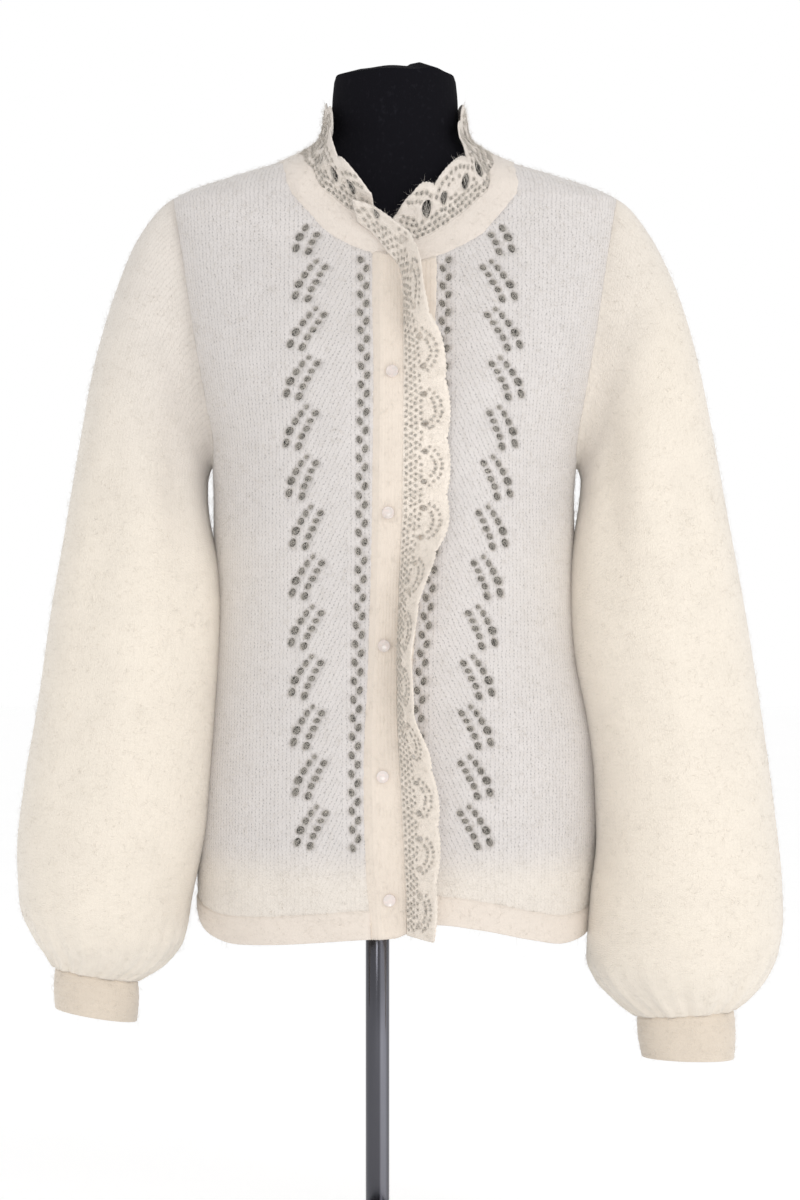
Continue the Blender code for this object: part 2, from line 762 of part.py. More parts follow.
def end_share(along):
    """How much of the lace's width is left near a rounded end."""
    return 1 - (1 - LACE_END_SHARE) * max(0.0, 1 - along / LACE_END_LENGTH) ** 2


def make_collar_lace():
    """The crochet collar, from the left front round the neck to the right front."""
    def place(u, v):
        degrees = angle_along_neck(u)
        foot = band_top(degrees) + SEAM_GAP
        start = oval_point(degrees, foot)
        bearing = math.atan2(start.x - CENTRE_X, -start.y)
        lean = math.radians(read_row(COLLAR_LEAN, degrees)[0]) * min(1.0, 0.35 + v / COLLAR_LACE)
        height = foot + v * math.cos(lean) * (1.0 - 0.1 * math.sin(bearing) ** 2)
        point = oval_point(neck_angle(math.degrees(bearing), height), height)
        out = Vector((math.sin(bearing), -math.cos(bearing), 0)) * v * math.sin(lean)
        return point + out + body_point(degrees, foot, overlap_lift(degrees)) - start

    outline, holes = scalloped_outline(COLLAR_LENGTH, COLLAR_LACE, rounded=True)
    add_part(pattern_mesh("collar_lace", outline, holes, LACE_STEP, place, LACE_WALL), "crochet")


def make_front_lace():
    """The crochet edging that crosses the neckband's end and runs down the top placket's free edge."""
    bottom, top = FRONT_LACE[0][0], FRONT_LACE[-1][0]

    def place(u, v):
        height = top - u
        seam, turn, lean, lift = read_row(FRONT_LACE, height)
        turn, lean = math.radians(turn), math.radians(lean)
        reach = v * math.cos(lean)
        height += reach * math.cos(turn)
        angle = angle_across(seam + reach * math.sin(turn), height)
        return body_point(angle, height, lift + v * math.sin(lean))

    outline, holes = scalloped_outline(top - bottom, LACE_WIDTH)
    add_part(pattern_mesh("front_lace", outline, holes, LACE_STEP, place, LACE_WALL), "crochet")


# Sleeves and cuffs

def fold_depth(turn, station):
    """How far the soft folds pull a sleeve in at a turn round one of its rings."""
    depth = 0.0
    for degrees, deepest, ring, span in SLEEVE_FOLDS:
        beside = (math.degrees(turn) - degrees) / FOLD_WIDTH
        depth += deepest * math.exp(-beside ** 2 - ((station - ring) / span * 1.6) ** 2)
    return depth


def sleeve_ring(table, station, side, sides):
    """One ring of a sleeve, blended from the armhole into a slanting oval."""
    outer_x, outer_z, inner_x, inner_z, depth, middle_y = read_row(table, station)
    middle, half = (ARMPIT + SHOULDER_TIP) / 2, (SHOULDER_TIP - ARMPIT) / 2
    half -= 2 * SEAM_GAP
    tuck = math.degrees(2 * SEAM_GAP / FLAT_RADIUS)
    blend = min(1.0, station / ARMHOLE_BLEND)
    blend = blend * blend * (3 - 2 * blend)
    last = table[-1][0]
    gather = max(0.0, 1 - abs(last - 0.7 - station) / GATHER_RINGS) * GATHER_DEPTH
    ring = []
    for i in range(sides):
        turn = 2 * math.pi * i / sides
        cosine, sine = math.cos(turn), math.sin(turn)
        pucker = 1 + gather / depth * math.cos(SLEEVE_GATHERS * turn) - fold_depth(turn, station) / depth
        free = Vector((
            CENTRE_X + (outer_x + inner_x) / 2 + (outer_x - inner_x) / 2 * cosine * pucker,
            middle_y - depth * sine * pucker,
            (outer_z + inner_z) / 2 + (outer_z - inner_z) / 2 * cosine,
        ))
        reach = (ARMHOLE_FRONT if sine > 0 else ARMHOLE_BACK) - tuck
        bow = signed_power(sine, ARMHOLE_ROUND)
        sewn = body_point(side * (90 - reach * bow), middle + half * cosine, SEAM_GAP)
        ring.append(sewn.lerp(free, blend))
    return ring


def facing_out(rings, side):
    """Turns the rings of a tube on the right side the other way round, so that it faces out too."""
    return rings if side > 0 else [ring[::-1] for ring in rings]


def make_sleeve(name, table, side):
    stations = [table[-1][0] * share ** 1.25 for share in steps(0, 1, SLEEVE_RINGS)]
    rings = [sleeve_ring(table, station, side, SLEEVE_SIDES) for station in stations]
    add_tube(loft_mesh(name, facing_out(rings, side)), "knit", KNIT_WALL)


def make_cuff(name, table, end, side):
    top, depth, middle_y = table[-1][1:5], *table[-1][5:]
    rings = []
    for share in steps(0, 1, 4):
        bulge = 1 + CUFF_BULGE / depth * math.sin(math.pi * share)
        outer_x, outer_z, inner_x, inner_z = (a + (b - a) * share for a, b in zip(top, end))
        ring = []
        for turn in steps(0, 2 * math.pi, CUFF_SIDES + 1)[:-1]:
            ring.append(Vector((
                CENTRE_X + (outer_x + inner_x) / 2 + (outer_x - inner_x) / 2 * math.cos(turn) * bulge,
                middle_y - depth * math.sin(turn) * bulge,
                (outer_z + inner_z) / 2 + (outer_z - inner_z) / 2 * math.cos(turn) - SEAM_GAP,
            )))
        rings.append(ring)
    add_tube(loft_mesh(name, facing_out(rings, side)), "knit_band", BAND_WALL)


# Buttons

def make_button(index, across, height):
    work = bmesh.new()
    bmesh.ops.create_cone(
        work, cap_ends=True, segments=14, radius1=BUTTON_WIDTH / 2, radius2=BUTTON_WIDTH / 2,
        depth=BUTTON_DEPTH,
    )
    mesh = bpy.data.meshes.new(f"button_{index}")
    work.to_mesh(mesh)
    work.free()
    button = add_part(mesh, "pearl")
    angle = angle_across(across, height)
    lift = 2 * LAYER_GAP + BAND_WALL + BUTTON_DEPTH / 2
    button.location = body_point(angle, height, lift)
    facing = body_point(angle, height, 1.0) - body_point(angle, height, 0.0)
    button.rotation_euler = facing.to_track_quat("Z", "Y").to_euler()
    edge = button.modifiers.new("Round edge", "BEVEL")
    edge.width = BUTTON_DEPTH * 0.25
    edge.segments = 1


# Dress form and stand

def form_ring(height):
    right, left, front, back, blunt = read_row(BODY, height)
    beside, before, behind = read_row(FORM_EASE, height)
    ring = []
    for degrees in steps(0, 360, FORM_SIDES + 1)[:-1]:
        across, forwards = blunt_oval(
            degrees, right - beside, left - beside, front - before, back - behind, blunt,
        )
        ring.append(Vector((CENTRE_X + across, -forwards, height)))
    return ring


def make_form():
    """Torso and neck in one smooth piece."""
    heights = steps(FORM_BOTTOM, FORM_SHOULDER, FORM_RINGS) + list(FORM_SLOPE)
    rings = [form_ring(height) for height in heights]
    neck = form_ring(FORM_EASE[-1][0])
    middle = sum(neck, Vector()) / len(neck)
    for height, share in NECK_TOP:
        rise = Vector((0, 0, height - FORM_EASE[-1][0]))
        rings.append([middle + (point - middle) * share + rise for point in neck])
    mesh = loft_mesh("form_body", rings, capped=True)
    mesh.shade_smooth()
    add_part(mesh, "form_jersey")


def make_stand():
    low, high = BASE_DEPTH + SEAM_GAP, FORM_BOTTOM - SEAM_GAP
    bpy.ops.mesh.primitive_cylinder_add(
        vertices=24, radius=POLE_RADIUS, depth=high - low, location=(0, 0, (low + high) / 2),
    )
    adopt("form_pole", "chrome")
    bpy.ops.mesh.primitive_cylinder_add(
        vertices=40, radius=BASE_RADIUS, depth=BASE_DEPTH, location=(0, 0, BASE_DEPTH / 2),
    )
    base = adopt("form_base", "chrome")
    rim = base.modifiers.new("Round rim", "BEVEL")
    rim.width = BASE_DEPTH * 0.3
    rim.limit_method = "ANGLE"


def adopt(name, material):
    """Names the primitive that was just added and moves it to the parts."""
    part = bpy.context.active_object
    part.name = part.data.name = name
    part.data.materials.append(material_of(material))
    for owner in part.users_collection:
        owner.objects.unlink(part)
    PARTS.objects.link(part)
    return part


for old in list(bpy.data.objects):
    bpy.data.objects.remove(old)
PARTS = bpy.data.collections.new("cardigan_on_dress_form")
bpy.context.scene.collection.children.link(PARTS)

# The neckline measured out from the left front's end to the right front's end
NECK_START = angle_across(read_row(LEFT_FRONT, NECK_LEVEL)[0] - UNDER_PLACKET, NECK_LEVEL)
NECK_END = 360 + angle_across(read_row(PLACKET_EDGE, NECK_LEVEL)[0], NECK_LEVEL)
NECK_LENGTHS = [(0.0, NECK_START)]
for degrees in steps(NECK_START, NECK_END, 361)[1:]:
    walked, before = NECK_LENGTHS[-1]
    step = oval_point(degrees, band_top(degrees)) - oval_point(before, band_top(before))
    NECK_LENGTHS.append((walked + step.length, degrees))


def angle_along_neck(length):
    return read_row(NECK_LENGTHS, length)[0]


COLLAR_STOP = 360 + angle_across(COLLAR_END, band_top(angle_across(COLLAR_END, COLLAR_LEVEL)))
COLLAR_LENGTH = max(length for length, degrees in NECK_LENGTHS if degrees <= COLLAR_STOP)
COLLAR_REPEATS = round(COLLAR_LENGTH / SCALLOP)
NECK_ANGLES = [angle_along_neck(length) for length in steps(0, COLLAR_LENGTH, 4 * COLLAR_REPEATS + 1)]

make_front("front_right", RIGHT_FRONT, -1)
make_front("front_left", LEFT_FRONT, 1)
make_back()
HEM_END = math.degrees(SEAM_GAP / 2 / FLAT_RADIUS)
HEM_RIGHT = angle_across(read_row(RIGHT_FRONT, HEM_LEVEL)[0] - SEAM_GAP, HEM_LEVEL)
HEM_LEFT = angle_across(read_row(LEFT_FRONT, HEM_LEVEL)[0] + SEAM_GAP, HEM_LEVEL)
make_hem_band("hem_band_right", -90 + HEM_END, HEM_RIGHT)
make_hem_band("hem_band_left", HEM_LEFT, 90 - HEM_END)
make_hem_band("hem_band_back", 90 + HEM_END, 270 - HEM_END)
make_neck_band()
make_placket("placket_right", top_placket_edges, LAYER_GAP + BAND_WALL, BAND_WALL)
make_placket("placket_left", under_placket_edges, 0.0, KNIT_WALL)
make_collar_lace()
make_front_lace()
make_sleeve("sleeve_right", RIGHT_SLEEVE, -1)
make_sleeve("sleeve_left", LEFT_SLEEVE, 1)
make_cuff("cuff_right", RIGHT_SLEEVE, RIGHT_CUFF_END, -1)
make_cuff("cuff_left", LEFT_SLEEVE, LEFT_CUFF_END, 1)
for number, (across, height) in enumerate(BUTTONS, 1):
    make_button(number, across, height)
make_form()
make_stand()
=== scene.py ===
"""Mohair cardigan on a dress form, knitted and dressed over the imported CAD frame.

Metres, +Z up, the front faces -Y. Right and left are the wearer's, so right lies at -X.
The tables repeat the values that the solids are built from, so every piece lies where its node is.
"""

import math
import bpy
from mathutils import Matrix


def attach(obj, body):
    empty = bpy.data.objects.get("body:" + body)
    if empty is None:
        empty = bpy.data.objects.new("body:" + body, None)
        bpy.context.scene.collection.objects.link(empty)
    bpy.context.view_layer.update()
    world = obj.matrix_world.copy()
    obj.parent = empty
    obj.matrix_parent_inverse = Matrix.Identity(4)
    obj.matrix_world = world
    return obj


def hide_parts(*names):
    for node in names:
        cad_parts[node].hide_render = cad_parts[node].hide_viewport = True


bl_info = {
    "name": "Mohair cardigan on a dress form",
    "version": (1, 0, 0),
    "blender": (4, 5, 0),
    "location": "View3D > Sidebar > Cardigan",
    "description": "Knits the cardigan over its CAD frame and dresses the form, the stand and the studio",
    "category": "Object",
}

import bpy
import numpy as np
from bpy.props import FloatProperty, FloatVectorProperty, IntProperty, PointerProperty
from mathutils import Vector, kdtree
from mathutils.geometry import delaunay_2d_cdt

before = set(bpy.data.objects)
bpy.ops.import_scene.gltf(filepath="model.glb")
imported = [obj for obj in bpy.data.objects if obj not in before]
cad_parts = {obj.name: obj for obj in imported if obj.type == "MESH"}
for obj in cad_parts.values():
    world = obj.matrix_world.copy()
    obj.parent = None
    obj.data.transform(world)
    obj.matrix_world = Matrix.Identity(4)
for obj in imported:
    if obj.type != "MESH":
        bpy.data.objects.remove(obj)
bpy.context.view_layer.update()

# Sizes shared with the solids
CENTRE_X = 0.014
KNIT_WALL = 0.002
BAND_WALL = 0.0024
LACE_WALL = 0.0016
SEAM_GAP = 0.0004
LAYER_GAP = 0.0008
HEM_BAND = 0.022
COLLAR_LACE = 0.047
LACE_WIDTH = 0.036
UNDER_PLACKET = 0.034
CUFF_BULGE = 0.0008
CUFF_RIDGE = 0.0001
CUFF_RIDGES = 5
CUFF_TUCK = 0.06
ARMPIT = 0.645
SHOULDER_TIP = 0.861
ARMHOLE_FRONT = 17.0
ARMHOLE_BACK = 20.0
ARMHOLE_ROUND = 0.8
ARMHOLE_BLEND = 1.1
BUTTON_WIDTH = 0.0095
BUTTON_DEPTH = 0.0026
FORM_BOTTOM = 0.340
POLE_RADIUS = 0.0095
BASE_RADIUS = 0.140
BASE_DEPTH = 0.008
FLAT_RADIUS = 0.140
SHOULDER_STRETCH = 3.0
SLOPE_START = 0.850
NECK_LEVEL = 0.81

# Sewn edges, which the solids keep apart: tucked under the band beside them, or met edge to edge
TUCK = 0.0014
SLIT = 0.0001
BAND_LIFT = 0.0004
BAND_DIP = 0.0012
BAND_LIP = 0.8

# The worn shape of fronts, back, neckband and collar as level ovals
BODY = (
    # height, half width right, half width left, front depth, back depth, bluntness (2 is an oval)
    (0.260, 0.149, 0.153, 0.111, 0.107, 2.0),
    (0.300, 0.1575, 0.158, 0.115, 0.110, 2.0),
    (0.340, 0.1580, 0.162, 0.117, 0.111, 2.0),
    (0.385, 0.1570, 0.165, 0.117, 0.111, 2.0),
    (0.430, 0.153, 0.164, 0.116, 0.108, 2.0),
    (0.460, 0.151, 0.158, 0.115, 0.105, 2.0),
    (0.500, 0.148, 0.150, 0.114, 0.100, 2.0),
    (0.560, 0.145, 0.145, 0.114, 0.096, 2.0),
    (0.620, 0.145, 0.143, 0.118, 0.096, 2.0),
    (0.660, 0.147, 0.147, 0.121, 0.098, 2.0),
    (0.700, 0.156, 0.156, 0.117, 0.101, 2.1),
    (0.740, 0.164, 0.164, 0.107, 0.102, 2.25),
    (0.780, 0.170, 0.170, 0.091, 0.099, 2.4),
    (0.816, 0.174, 0.174, 0.073, 0.091, 2.5),
    (0.840, 0.1765, 0.1765, 0.064, 0.083, 2.5),
    (0.858, 0.1775, 0.1775, 0.0585, 0.076, 2.5),
    (0.866, 0.164, 0.164, 0.0573, 0.073, 2.5),
    (0.877, 0.131, 0.131, 0.0560, 0.068, 2.4),
    (0.892, 0.085, 0.085, 0.0547, 0.062, 2.15),
    (0.908, 0.0610, 0.0610, 0.0540, 0.058, 2.0),
    (0.924, 0.0565, 0.0565, 0.0535, 0.0555, 2.0),
    (0.950, 0.0535, 0.0535, 0.0530, 0.054, 2.0),
)

# How far inside the cardigan the dress form stays
FORM_EASE = (
    # height, at the sides, at the front, at the back
    (0.340, 0.014, 0.014, 0.012),
    (0.420, 0.012, 0.014, 0.012),
    (0.500, 0.018, 0.018, 0.014),
    (0.560, 0.022, 0.018, 0.014),
    (0.620, 0.014, 0.010, 0.009),
    (0.680, 0.009, 0.007, 0.0075),
    (0.780, 0.008, 0.0065, 0.007),
    (0.856, 0.010, 0.0065, 0.007),
    (0.876, 0.013, 0.0065, 0.007),
    (0.892, 0.012, 0.0060, 0.007),
    (0.908, 0.0095, 0.0055, 0.0065),
    (0.924, 0.0058, 0.0050, 0.0055),
    (0.940, 0.0044, 0.0044, 0.0050),
)
NECK_TOP = (
    # height, share of the neck's width
    (0.950, 1.00),
    (0.957, 0.985),
    (0.961, 0.945),
    (0.9638, 0.86),
    (0.965, 0.62),
)

# Edges of the panels on that shape, by angle from the middle of the front, left being positive
HEM = (
    # degrees round from the front, height
    (-180, 0.270),
    (-120, 0.273),
    (-90, 0.284),
    (-72, 0.276),
    (-55, 0.2715),
    (-40, 0.273),
    (-12, 0.279),
    (0, 0.2815),
    (5, 0.287),
    (11, 0.291),
    (25, 0.286),
    (42, 0.277),
    (58, 0.2715),
    (74, 0.275),
    (90, 0.282),
    (120, 0.273),
    (180, 0.270),
)
NECKLINE = (
    # degrees round from its lowest point, seam of the neckband, top of the neckband
    (0.0, 0.8030, 0.8195),
    (1.6, 0.8042, 0.8220),
    (6.0, 0.8100, 0.8320),
    (10.4, 0.8170, 0.8435),
    (15.0, 0.8262, 0.8570),
    (20.6, 0.8450, 0.8690),
    (27.0, 0.8640, 0.8765),
    (39.5, 0.8765, 0.8835),
    (60.0, 0.8850, 0.8915),
    (90.0, 0.8885, 0.8965),
    (135.0, 0.8865, 0.8975),
    (180.0, 0.8845, 0.8985),
)
NECK_TURN = 2.7

# Lines of each front, across the front view from the form's middle
RIGHT_FRONT = (
    # height, placket seam, eyelet zigzag, leaf eyelets
    (0.280, -0.0180, -0.0285, -0.063),
    (0.349, -0.0225, -0.0300, -0.064),
    (0.402, -0.0235, -0.0310, -0.066),
    (0.494, -0.0200, -0.0285, -0.069),
    (0.586, -0.0175, -0.0255, -0.068),
    (0.655, -0.0165, -0.0250, -0.073),
    (0.716, -0.0160, -0.0235, -0.072),
    (0.769, -0.0170, -0.0245, -0.066),
    (0.830, -0.0170, -0.0245, -0.066),
)
LEFT_FRONT = (
    # height, placket seam, eyelet zigzag, leaf eyelets
    (0.280, 0.0120, 0.0195, 0.063),
    (0.364, 0.0100, 0.0175, 0.062),
    (0.441, 0.0100, 0.0177, 0.063),
    (0.479, 0.0125, 0.0200, 0.064),
    (0.570, 0.0210, 0.0285, 0.073),
    (0.662, 0.0265, 0.0340, 0.082),
    (0.708, 0.0290, 0.0365, 0.087),
    (0.807, 0.0320, 0.0395, 0.080),
    (0.830, 0.0320, 0.0395, 0.080),
)
PLACKET_EDGE = (
    # height, the top placket's free edge
    (0.280, 0.0090),
    (0.311, 0.0085),
    (0.387, 0.0050),
    (0.464, 0.0015),
    (0.541, 0.0030),
    (0.616, 0.0055),
    (0.769, 0.0065),
    (0.830, 0.0065),
)

# Eyelets cut through the fronts
ZIGZAG_LOW, ZIGZAG_HIGH = 0.350, 0.805
ZIGZAG_STEP = 0.0071
ZIGZAG_SWING = 0.0023
ZIGZAG_SLANT = 0.15
ZIGZAG_HOLE = (0.0045, 0.0061)
LEAF_LOW = 0.354
LEAF_STEP = 0.03835
LEAF_COUNT = 13
LEAF_HOLES = (
    # towards the placket, up, width, height
    (-0.0110, 0.0000, 0.0053, 0.0068),
    (-0.0084, 0.0091, 0.0066, 0.0066),
    (-0.0039, 0.0163, 0.0050, 0.0057),
    (0.0003, 0.0223, 0.0042, 0.0054),
    (0.0049, 0.0272, 0.0033, 0.0033),
    (-0.0012, -0.0027, 0.0054, 0.0060),
    (0.0014, 0.0048, 0.0050, 0.0050),
    (0.0049, 0.0106, 0.0054, 0.0045),
    (0.0079, 0.0166, 0.0050, 0.0038),
    (0.0117, 0.0224, 0.0052, 0.0048),
)
SLANTED_STITCHES = (0.002, 0.0105, 27.0)

# Lean of the crochet edging out of the surface it is sewn to
COLLAR_LEAN = (
    # degrees round the neck, lean at the free edge in degrees
    (0, 8),
    (60, 3),
    (90, 1),
    (270, 1),
    (320, 4),
    (340, 11),
    (349, 22),
    (355, 34),
    (360, 40),
)
FRONT_LACE = (
    # height, seam across the front view, degrees the lace turns from upright, lean in degrees, lift
    (0.284, 0.0100, 90, 60, 0.0032),
    (0.311, 0.0095, 90, 57, 0.0032),
    (0.326, 0.0088, 90, 54, 0.0032),
    (0.374, 0.0063, 90, 44, 0.0032),
    (0.414, 0.0045, 90, 52, 0.0032),
    (0.452, 0.0028, 90, 72, 0.0032),
    (0.494, 0.0025, 90, 75, 0.0032),
    (0.540, 0.0038, 90, 68, 0.0032),
    (0.576, 0.0050, 90, 48, 0.0032),
    (0.613, 0.0063, 90, 14, 0.0032),
    (0.662, 0.0068, 90, 10, 0.0032),
    (0.7325, 0.0072, 90, 40, 0.0032),
    (0.752, 0.0073, 88, 60, 0.0034),
    (0.767, 0.0073, 80, 66, 0.0044),
    (0.782, 0.0068, 46, 58, 0.0060),
    (0.795, 0.0040, 31, 50, 0.0062),
    (0.807, -0.0053, 27, 46, 0.0064),
    (0.822, -0.0160, 12, 44, 0.0066),
    (0.832, -0.0280, -17, 36, 0.0056),
)
SCALLOP = 0.042
COLLAR_SCALLOP = 0.0095
EDGING_SCALLOP = 0.0028
COLLAR_END = -0.0165
COLLAR_START = (
    # length from the strip's start, share of its width that is left
    (0.0, 0.38),
    (0.015, 0.80),
    (0.030, 1.0),
    (0.060, 1.0),
)
COLLAR_FINISH = (
    # length to the strip's end, share of its width that is left
    (0.0, 0.66),
    (0.013, 0.94),
    (0.026, 1.12),
    (0.040, 1.16),
    (0.060, 1.08),
    (0.085, 1.0),
)
EDGING_FINISH = ((0.0, 1.0), (0.060, 1.0))
EDGING_START = (
    # length from the strip's start, share of its width that is left
    (0.0, 0.54),
    (0.012, 0.60),
    (0.030, 0.74),
    (0.050, 0.86),
    (0.075, 1.0),
    (0.090, 1.0),
)
PICOT = 0.0008
PICOTS = 12
LACE_LEAF = (0.0112, 0.47, 0.0064, 0.0108)
LACE_NET = (
    # row's place as a share of the lace, shift along as a share of the pitch, hole's width
    (0.085, 0.0, 0.0031),
    (0.187, 0.5, 0.0032),
    (0.289, 0.0, 0.0031),
    (0.391, 0.5, 0.0028),
)
LACE_NET_PITCH = 0.0047
LACE_FAN = (
    # radius as a share of the lace, reach to each side in degrees, holes, hole's width
    (0.285, 44.0, 6, 0.0026),
    (0.425, 66.0, 10, 0.0029),
)
LACE_FAN_FOOT = 0.40
HAND_WORK = 0.0003

# Sleeves as slanting rings between an outer and an inner edge in the front view
RIGHT_SLEEVE = (
    # ring, outer x, outer z, inner x, inner z, half depth, middle y
    (0.0, -0.1780, 0.8610, -0.1480, 0.6450, 0.0300, 0.0010),
    (0.5, -0.1925, 0.8510, -0.1495, 0.6400, 0.0360, 0.0000),
    (1.0, -0.2070, 0.8260, -0.1505, 0.6340, 0.0410, -0.0020),
    (2.0, -0.2255, 0.7775, -0.1515, 0.6180, 0.0490, -0.0060),
    (3.0, -0.2399, 0.7241, -0.1500, 0.5960, 0.0530, -0.0120),
    (4.0, -0.2501, 0.6641, -0.1465, 0.5680, 0.0550, -0.0190),
    (5.0, -0.2604, 0.5994, -0.1450, 0.5300, 0.0570, -0.0250),
    (6.0, -0.2720, 0.5301, -0.1475, 0.4800, 0.0600, -0.0280),
    (7.0, -0.2818, 0.4609, -0.1515, 0.4250, 0.0630, -0.0290),
    (8.0, -0.2927, 0.3966, -0.1555, 0.3720, 0.0650, -0.0290),
    (9.0, -0.2988, 0.3421, -0.1620, 0.3250, 0.0650, -0.0270),
    (10.0, -0.2971, 0.3023, -0.1644, 0.2944, 0.0610, -0.0250),
    (11.0, -0.2864, 0.2744, -0.1695, 0.2704, 0.0530, -0.0230),
    (12.0, -0.2747, 0.2573, -0.1825, 0.2523, 0.0400, -0.0210),
    (13.0, -0.2697, 0.2483, -0.2039, 0.2373, 0.0255, -0.0200),
)
LEFT_SLEEVE = (
    # ring, outer x, outer z, inner x, inner z, half depth, middle y
    (0.0, 0.1780, 0.8610, 0.1480, 0.6450, 0.0300, 0.0010),
    (0.5, 0.1925, 0.8510, 0.1490, 0.6400, 0.0360, 0.0000),
    (1.0, 0.2070, 0.8260, 0.1495, 0.6340, 0.0420, -0.0020),
    (2.0, 0.2255, 0.7844, 0.1490, 0.6160, 0.0500, -0.0060),
    (3.0, 0.2399, 0.7341, 0.1470, 0.5940, 0.0540, -0.0120),
    (4.0, 0.2522, 0.6710, 0.1450, 0.5640, 0.0560, -0.0190),
    (5.0, 0.2635, 0.6054, 0.1460, 0.5280, 0.0580, -0.0250),
    (6.0, 0.2749, 0.5420, 0.1500, 0.4900, 0.0610, -0.0290),
    (7.0, 0.2846, 0.4807, 0.1585, 0.4500, 0.0640, -0.0310),
    (8.0, 0.2935, 0.4214, 0.1635, 0.4020, 0.0670, -0.0310),
    (9.0, 0.3004, 0.3681, 0.1630, 0.3560, 0.0690, -0.0310),
    (10.0, 0.3055, 0.3206, 0.1575, 0.3120, 0.0690, -0.0300),
    (11.0, 0.3067, 0.2868, 0.1545, 0.2810, 0.0650, -0.0280),
    (12.0, 0.3030, 0.2608, 0.1530, 0.2570, 0.0580, -0.0260),
    (13.0, 0.2933, 0.2398, 0.1605, 0.2388, 0.0480, -0.0240),
    (14.0, 0.2796, 0.2237, 0.1775, 0.2217, 0.0360, -0.0220),
    (15.0, 0.2690, 0.2146, 0.1920, 0.2097, 0.0265, -0.0210),
)
RIGHT_CUFF_END = (-0.2697, 0.2165, -0.2049, 0.2056)
LEFT_CUFF_END = (0.2690, 0.1760, 0.1959, 0.1779)
SLEEVE_GATHERS = 10
GATHER_DEPTH = 0.0013
GATHER_RINGS = 2.6
SLEEVE_FOLDS = (
    # degrees from the outer edge round the front, depth, ring where it is deepest, rings it spans
    (118, 0.0075, 3.2, 3.4),
    (62, 0.0040, 5.5, 5.0),
    (245, 0.0050, 4.0, 5.0),
)
FOLD_WIDTH = 19.0
RIGHT_NESTLE = (
    # ring, how far the inner edge settles against the body
    (0.0, 0.0),
    (1.5, 0.0018),
    (2.5, 0.0030),
    (3.4, 0.0052),
    (4.2, 0.0078),
    (5.0, 0.0090),
    (8.0, 0.0090),
    (10.0, 0.0020),
    (13.0, 0.0),
)
LEFT_NESTLE = (
    # ring, how far the inner edge settles against the body
    (0.0, 0.0),
    (1.5, 0.0015),
    (3.0, 0.0040),
    (5.0, 0.0080),
    (7.0, 0.0085),
    (9.5, 0.0030),
    (15.0, 0.0),
)

# Buttons on the top placket, in the front view from the form's middle
BUTTONS = (
    # across, height
    (-0.0020, 0.714),
    (-0.0050, 0.607),
    (-0.0080, 0.505),
    (-0.0090, 0.405),
    (-0.0040, 0.311),
)
FUZZED_BUTTONS = 3
FINE_GATHERS = 25
FINE_GATHER = 0.0010


# Curves through the tables

def read(rows, at):
    """A table's columns after its first, on smooth curves through its rows, at values of the first."""
    table = np.asarray(rows, dtype=float)
    keys, values = table[:, 0], table[:, 1:]
    rise = np.diff(values, axis=0) / np.diff(keys)[:, None]
    slope = np.vstack((rise[:1], np.zeros_like(rise[1:]), rise[-1:]))
    before, after = rise[:-1], rise[1:]
    agree = before * after > 0
    slope[1:-1] = np.where(agree, 2 * before * after / np.where(agree, before + after, 1.0), 0.0)
    at = np.clip(np.asarray(at, dtype=float), keys[0], keys[-1])
    index = np.clip(np.searchsorted(keys, at, side="right") - 1, 0, len(keys) - 2)
    span = (keys[index + 1] - keys[index])[..., None]
    t = (at - keys[index])[..., None] / span
    curve = (
        values[index] * (1 + 2 * t) * (1 - t) ** 2
        + values[index + 1] * t * t * (3 - 2 * t)
        + slope[index] * span * t * (1 - t) ** 2
        - slope[index + 1] * span * t * t * (1 - t)
    )
    return np.moveaxis(curve, -1, 0)


def signed_power(value, power):
    """A power that keeps the sign."""
    return np.sign(value) * np.abs(value) ** power


def smooth_step(value, low, high):
    """Rises smoothly from 0 to 1 between two values."""
    t = np.clip((value - low) / (high - low), 0.0, 1.0)
    return t * t * (3 - 2 * t)


def unit(vectors):
    """Vectors of length one."""
    return vectors / np.maximum(np.linalg.norm(vectors, axis=-1, keepdims=True), 1e-12)


def fold_angle(degrees):
    """An angle round the body as its distance from the middle of the front, from 0 to 180."""
    return np.abs((degrees + 180) % 360 - 180)


def hem_height(degrees):
    """Height of the hem's fold at a bearing."""
    return read(HEM, (np.asarray(degrees) + 180) % 360 - 180)[0]


def neck_height(degrees):
    """Height of the neck seam at a bearing."""
    return read(NECKLINE, fold_angle(degrees - NECK_TURN))[0]


def band_top(degrees):
    """Height of the neckband's upper edge at a bearing."""
    return read(NECKLINE, fold_angle(degrees - NECK_TURN))[1]


# The worn shape

def blunt_oval(degrees, right, left, front, back, blunt):
    """Distance across and forwards of points on level sections."""
    sine, cosine = np.sin(np.radians(degrees)), np.cos(np.radians(degrees))
    across = signed_power(sine, 2 / blunt) * np.where(sine > 0, left, right)
    return across, signed_power(cosine, 2 / blunt) * np.where(cosine > 0, front, back)


def oval(degrees, height):
    """Points of the worn shape at bearings and heights."""
    degrees, height = np.broadcast_arrays(np.asarray(degrees, float), np.asarray(height, float))
    across, forwards = blunt_oval(degrees, *read(BODY, height))
    return np.stack((CENTRE_X + across, -forwards, height), axis=-1)


def body(degrees, height, lift=0.0):
    """Points of the worn shape, moved out of it by lift."""
    degrees, height = np.asarray(degrees, float), np.asarray(height, float)
    turn, rise = 0.2, 0.0004
    round_it = oval(degrees + turn, height) - oval(degrees - turn, height)
    up = oval(degrees, height + rise) - oval(degrees, height - rise)
    return oval(degrees, height) + unit(np.cross(round_it, up)) * np.asarray(lift)[..., None]


